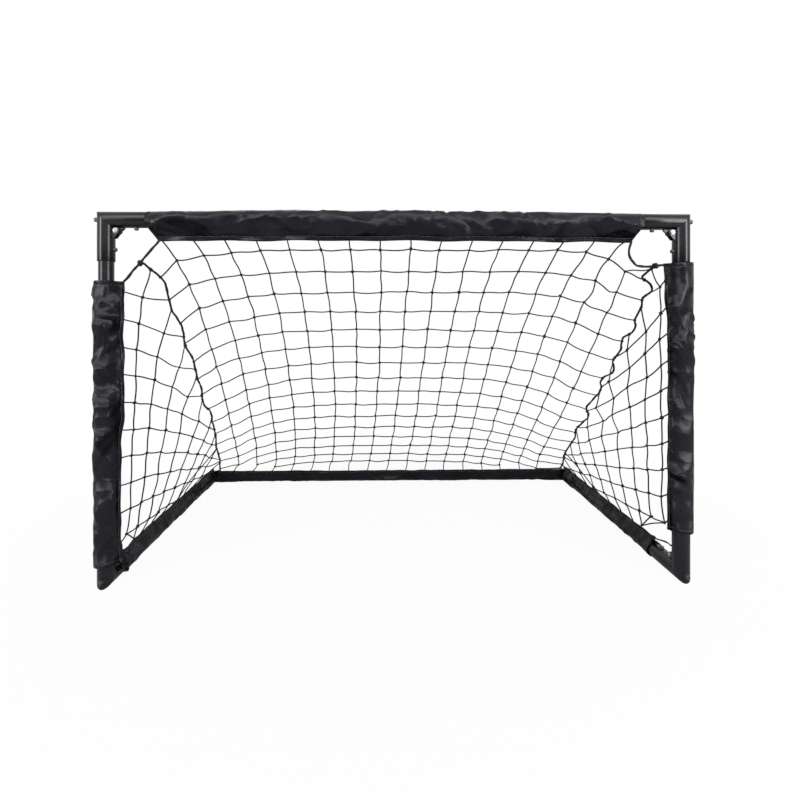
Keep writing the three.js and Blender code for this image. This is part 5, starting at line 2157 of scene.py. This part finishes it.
@dataclass
class Netting:
    """The back net and the two side nets, with the ropes and ties that hold them."""

    twine: float = 1.45 * MM
    knot: float = 3.4 * MM
    inside_knot: float = 3.6 * MM
    rope: float = 2.7 * MM
    slim: float = 2.35 * MM
    tie: float = 2.0 * MM
    bands: int = 12
    steps: int = 6
    slack: float = 0.028
    droop: float = 0.02
    jitter: float = 1.5 * MM
    loose: tuple[float, float, float] = (0.46, -0.24, 0.61)
    loose_reach: float = 0.07
    near_rope: float = 9 * MM
    end_lead: float = 3.4 * MM
    low_share: float = 0.02
    high_share: float = 0.95

    def __post_init__(self) -> None:
        """Finds the slope that the back net hangs on and starts its tree."""
        low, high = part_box("main_net")
        self.low = Vector((0, high.y, low.z))
        self.high = Vector((0, low.y, high.z))
        self.corner = Vector((0, low.y, low.z))
        self.grower = twine_grower()
        self.lines: list[list[Vector]] = []

    def blend(self, made: bpy.types.Object, share: float = 1.0) -> None:
        """Bakes a piece's transform into its mesh.

        Args:
            made: the piece.
            share: how far from the lower front corner to the slope it lies.
        """
        start, end = (
            self.corner + (self.low.lerp(self.high, place) - self.corner) * share
            for place in (self.low_share, self.high_share)
        )
        tuple(start)
        tuple(end)
        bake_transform(made)

    def build(self) -> None:
        """Makes the ropes, then the nets that hang on them."""
        for side in Side:
            self.ropes(side)
            self.foot_tie(side)
        points, strings, ties = self.read("main_net")
        made = self.grown("main_net_twine", points, strings, ties, 3)
        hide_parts("main_net")
        self.blend(made)
        for side in Side:
            self.side_net(side)

    def ropes(self, side: Side) -> None:
        """Makes one side's corner rope and edge rope, with the hitch between them.

        Args:
            side: the goal's side.
        """
        name = f"{side.label}_corner_rope"
        made, corner = Rope(name, self.rope, self.slim, (6 * MM, 6 * MM)).build()
        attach(made, Body.FRONT.value)
        node = f"{side.label}_edge_rope"
        top = Lattice(node, self.rope * RING_REACH).chain()[-1]
        held = min(range(1, len(corner) - 1), key=lambda k: (corner[k] - top).length)
        way = (corner[held + 1] - corner[held - 1]).normalized()
        name = f"{side.label}_edge_hitch"
        hitch = coil(name, corner[held], way, self.slim * 1.75, self.slim * 0.8)
        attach(hitch, Body.FRONT.value)
        low = PLAN.rear(side) + (side.inward - Y) * 13 * MM + Z * 20 * MM
        high = corner[held] + (top - corner[held]).normalized() * self.slim
        zigzag = {-2: 5, -3: 8, -5: -5} if side is Side.RIGHT else {}
        sway = {k: side.inward * aside * MM for k, aside in zigzag.items()}
        rope = Rope(node, self.rope, self.slim, (low, high), sway=sway, with_pieces=[hitch])
        made, line = rope.build()
        self.lines.append(line)
        self.blend(made)

    def foot_tie(self, side: Side) -> None:
        """Makes the short cord at one post's foot, with its tangle.

        Args:
            side: the goal's side.
        """
        right = side is Side.RIGHT
        on_post = PLAN.foot(side) + side.inward * 10 * MM + Y * 13.5 * MM + Z * 46 * MM
        made, line = Rope(
            f"{side.label}_foot_tie",
            self.tie,
            self.tie * 0.9,
            leads=(0.0, on_post if right else 0.0),
            parts=4,
            kink=0.4 * MM,
            rise=14 * MM if right else 0.0,
            with_pieces=[self.tangle(side)],
        ).build()
        ends = sorted((line[0], line[-1]), key=lambda p: -p.y if right else p.z)
        tuple(ends[0])
        tuple(ends[1])
        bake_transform(made)

    def tangle(self, side: Side) -> bpy.types.Object:
        """Makes the tangle of loops that ends a foot tie.

        Args:
            side: the goal's side.
        Returns:
            The piece.
        """
        line = Lattice(f"{side.label}_foot_tie", self.tie * RING_REACH).chain()
        centre, wide, count = line[0] + Vector((0, 0, -1.5)) * MM, (5, 6, 2.5), 16
        if side is Side.LEFT:
            centre, wide, count = line[len(line) // 2] + Vector((-2, -1, 3)) * MM, (8, 7, 14), 30
        dice = random.Random(side.label)
        marks = []
        for _ in range(count):
            away = Vector([dice.uniform(-1, 1) for _ in range(3)]).normalized()
            marks.append(centre + away * Vector(wide) * MM)
        made = tube(f"{side.label}_foot_knot", finer(marks, 6), self.tie * 0.75, 7)
        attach(made, Body.BASE.value)
        return made

    def held_at(self, point: Vector) -> Vector | None:
        """The place on an edge rope that a loose string end reaches, if there is one.

        Args:
            point: the string's end.
        Returns:
            The place, or None.
        """
        near, gap = None, self.near_rope
        for line in self.lines:
            best = min(line, key=lambda p: (p - point).length)
            if (best - point).length < gap:
                near, gap = best, (best - point).length
        return near

    def read(self, node: str) -> tuple[list[Vector], list[tuple[int, int]], list[float]]:
        """Reads a net's knots, and leads its loose ends into the ropes and hems.

        Args:
            node: the net's solid.
        Returns:
            The knots, the strings between them and each knot's size.
        """
        dice = random.Random(node)
        net = Lattice(node, self.inside_knot)
        partners: dict[int, list[int]] = {k: [] for k in range(len(net.points))}
        for a, b in net.links:
            partners[a].append(b)
            partners[b].append(a)
        points, ties = [], []
        for k, point in enumerate(net.points):
            if len(partners[k]) == 1 and net.counts[k] <= 5:
                near = self.held_at(point)
                if near is None:
                    way = (point - net.points[partners[k][0]]).normalized()
                    near = point + way * self.end_lead
                    ties.append(0.0)
                else:
                    ties.append(self.slim * 1.5 / self.knot)
                points.append(near.copy())
            else:
                shift = Vector([dice.uniform(-1, 1) * self.jitter for _ in range(3)])
                points.append(point + shift)
                ties.append(dice.uniform(0.85, 1.15))
        return points, net.links, ties

    def grown(
        self,
        name: str,
        points: list[Vector],
        strings: list[tuple[int, int]],
        ties: list[float],
        seed: int,
    ) -> bpy.types.Object:
        """Makes twine along the strings, each slack in its own way.

        Args:
            name: the piece's name.
            points: the knots.
            strings: pairs of knots.
            ties: each knot's size, 0 for none.
            seed: sets how the strings wander.
        Returns:
            The piece.
        """
        dice = random.Random(seed)
        used = sorted({k for pair in strings for k in pair})
        place = {k: i for i, k in enumerate(used)}
        wire = [points[k] for k in used]
        edges = []
        for a, b in strings:
            start, way = points[a], points[b] - points[a]
            length, upright = way.length, abs(way.normalized().z)
            u, v = square_to(way.normalized())
            sag = -Z * length * self.droop * (1 - upright)
            off = start + way / 2 - Vector(self.loose)
            loose = math.exp(-off.length_squared / self.loose_reach**2)
            slack = length * self.slack * (1 + 3.5 * loose)
            bow = (u * dice.uniform(-1, 1) + v * dice.uniform(-1, 1)) * slack
            curl = (u * dice.uniform(-1, 1) + v * dice.uniform(-1, 1)) * slack * 0.6
            first = len(wire)
            for t in (k / self.steps for k in range(1, self.steps)):
                swing = (bow + sag) * math.sin(math.pi * t) + curl * math.sin(2 * math.pi * t)
                wire.append(start + way * t + swing)
            course = [place[a], *range(first, len(wire)), place[b]]
            edges += list(zip(course, course[1:]))
        sizes = [ties[k] for k in used] + [0.0] * (len(wire) - len(used))
        mesh = bpy.data.meshes.new(name + "_lines")
        mesh.from_pydata([tuple(p) for p in wire], edges, [])
        mesh.attributes.new("tie", "FLOAT", "POINT").data.foreach_set("value", sizes)
        return self.grower.grow(name, mesh, Slot.TWINE, Radius=self.twine, Knot_Radius=self.knot)

    def side_net(self, side: Side) -> None:
        """Makes one side net in bands that run from the ground bar to the post.

        Args:
            side: the goal's side.
        """
        node = f"{side.label}_side_net"
        points, strings, ties = self.read(node)
        deep, tall = self.low.y - self.corner.y, self.high.z - self.corner.z
        bands: dict[int, list[tuple[int, int]]] = {}
        for a, b in strings:
            centre = (points[a] + points[b]) / 2 - self.corner
            share = centre.y / deep + centre.z / tall
            band = min(max(int(share * self.bands), 0), self.bands - 1)
            bands.setdefault(band, []).append((a, b))
        for band, held in sorted(bands.items()):
            name = f"{node}_band_{band + 1:02d}"
            made = self.grown(name, points, held, ties, band + 40)
            for k in {k for pair in held for k in pair}:
                ties[k] = 0.0
            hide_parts(node)
            self.blend(made, max((band + 0.5) / self.bands, 0.06))


# Stage


@dataclass
class Studio:
    """Camera, lamps and the pale floor."""

    place: tuple[float, float, float] = (-0.0366, -0.8832, 0.5345)
    lens: float = 19.57
    sensor: float = 36.0
    yaw: float = -1.01
    shift: tuple[float, float] = (0.01675, -0.101)
    sky: float = 0.12
    floor_far: tuple[float, float] = (0.5, 1.2)
    floor_size: float = 30.0
    floor_low: float = 0.4 * MM

    def build(self) -> None:
        """Sets the camera, the lamps, the world and the floor."""
        scene = bpy.context.scene
        scene.view_settings.view_transform = "Standard"
        camera = bpy.data.objects.new("camera", bpy.data.cameras.new("camera"))
        scene.collection.objects.link(camera)
        camera.location = Vector(self.place) + Y * PLAN.front_y
        camera.rotation_euler = (math.radians(90), 0, math.radians(self.yaw))
        camera.data.sensor_width = self.sensor
        camera.data.lens = self.lens
        camera.data.shift_x, camera.data.shift_y = self.shift
        scene.camera = camera
        self.world()
        self.floor()
        for name, place, aim, size, power in (
            ("lamp_left", (-1.9, -1.55, 0.85), (0, 0, 0.4), (0.52, 1.0), 26),
            ("lamp_right", (1.6, -1.5, 0.85), (0, 0, 0.4), (0.52, 1.0), 24),
            ("lamp_top", (0.0, -1.45, 1.6), (0, -0.25, 0.65), (3.2, 0.85), 42),
            ("lamp_back", (0.0, 1.7, 2.1), (0, 0, 0.2), (2.0, 0.8), 11),
        ):
            data = bpy.data.lights.new(name, "AREA")
            data.shape = "RECTANGLE"
            data.size, data.size_y = size
            data.energy = power
            made = bpy.data.objects.new(name, data)
            scene.collection.objects.link(made)
            made.location = place
            toward = Vector(aim) - Vector(place)
            made.rotation_euler = toward.to_track_quat("-Z", "Y").to_euler()

    def world(self) -> None:
        """A soft grey sky that the camera and reflections see as white."""
        world = bpy.data.worlds.new("studio")
        bpy.context.scene.world = world
        world.use_nodes = True
        nodes, links = world.node_tree.nodes, world.node_tree.links
        nodes.clear()
        out = nodes.new("ShaderNodeOutputWorld")
        rays, mix = nodes.new("ShaderNodeLightPath"), nodes.new("ShaderNodeMixShader")
        seen = rays.outputs["Is Camera Ray"]
        for ray in ("Is Transmission Ray", "Is Glossy Ray"):
            either = nodes.new("ShaderNodeMath")
            either.operation = "MAXIMUM"
            links.new(seen, either.inputs[0])
            links.new(rays.outputs[ray], either.inputs[1])
            seen = either.outputs[0]
        links.new(seen, mix.inputs[0])
        for socket, strength in zip(mix.inputs[1:3], (self.sky, 1.0)):
            light = nodes.new("ShaderNodeBackground")
            light.inputs[0].default_value = (1, 1, 1, 1)
            light.inputs[1].default_value = strength
            links.new(light.outputs[0], socket)
        links.new(mix.outputs[0], out.inputs[0])

    def floor(self) -> None:
        """A pale floor that fades to white away from the goal."""
        web = Web("studio_floor")
        far = web.node("ShaderNodeVectorMath", {"operation": "LENGTH"}, {0: web.place()}, "Value")
        fade = far.held(*self.floor_far, 0.94, 1.0)
        web.finished(Base_Color=(0.62, 0.62, 0.62, 1), Roughness=0.9, Specular_IOR_Level=0.1)
        glow = web.nodes.new("ShaderNodeEmission")
        glow.inputs[0].default_value = (1, 1, 1, 1)
        rays = web.node("ShaderNodeLightPath", out="Is Camera Ray")
        mix = web.nodes.new("ShaderNodeMixShader")
        web.feed(mix.inputs[0], fade * rays)
        web.links.new(web.shader.outputs[0], mix.inputs[1])
        web.links.new(glow.outputs[0], mix.inputs[2])
        web.links.new(mix.outputs[0], web.output.inputs[0])
        mesh = bpy.data.meshes.new("floor")
        wide, low = self.floor_size, -self.floor_low
        corners = [(-wide, -wide, low), (wide, -wide, low), (wide, wide, low), (-wide, wide, low)]
        mesh.from_pydata(corners, [], [(0, 1, 2, 3)])
        mesh.materials.append(web.material)
        made = bpy.data.objects.new("floor", mesh)
        bpy.context.scene.collection.objects.link(made)


STITCHES = stitch_grower()


def main() -> None:
    """Builds each class in order and reports each piece."""
    logging.basicConfig(level=logging.INFO, format="%(name)s: %(message)s")
    Studio().build()
    Netting().build()
    make_sleeves()
    GoalFrame().build()
    for made in bpy.context.scene.objects:
        if made.type == "MESH":
            log.info("%s: %d faces", made.name, len(made.data.polygons))
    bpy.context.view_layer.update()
    for group in list(bpy.data.node_groups):
        if group.bl_idname == "GeometryNodeTree":
            bpy.data.node_groups.remove(group)


if __name__ == "__main__":
    main()
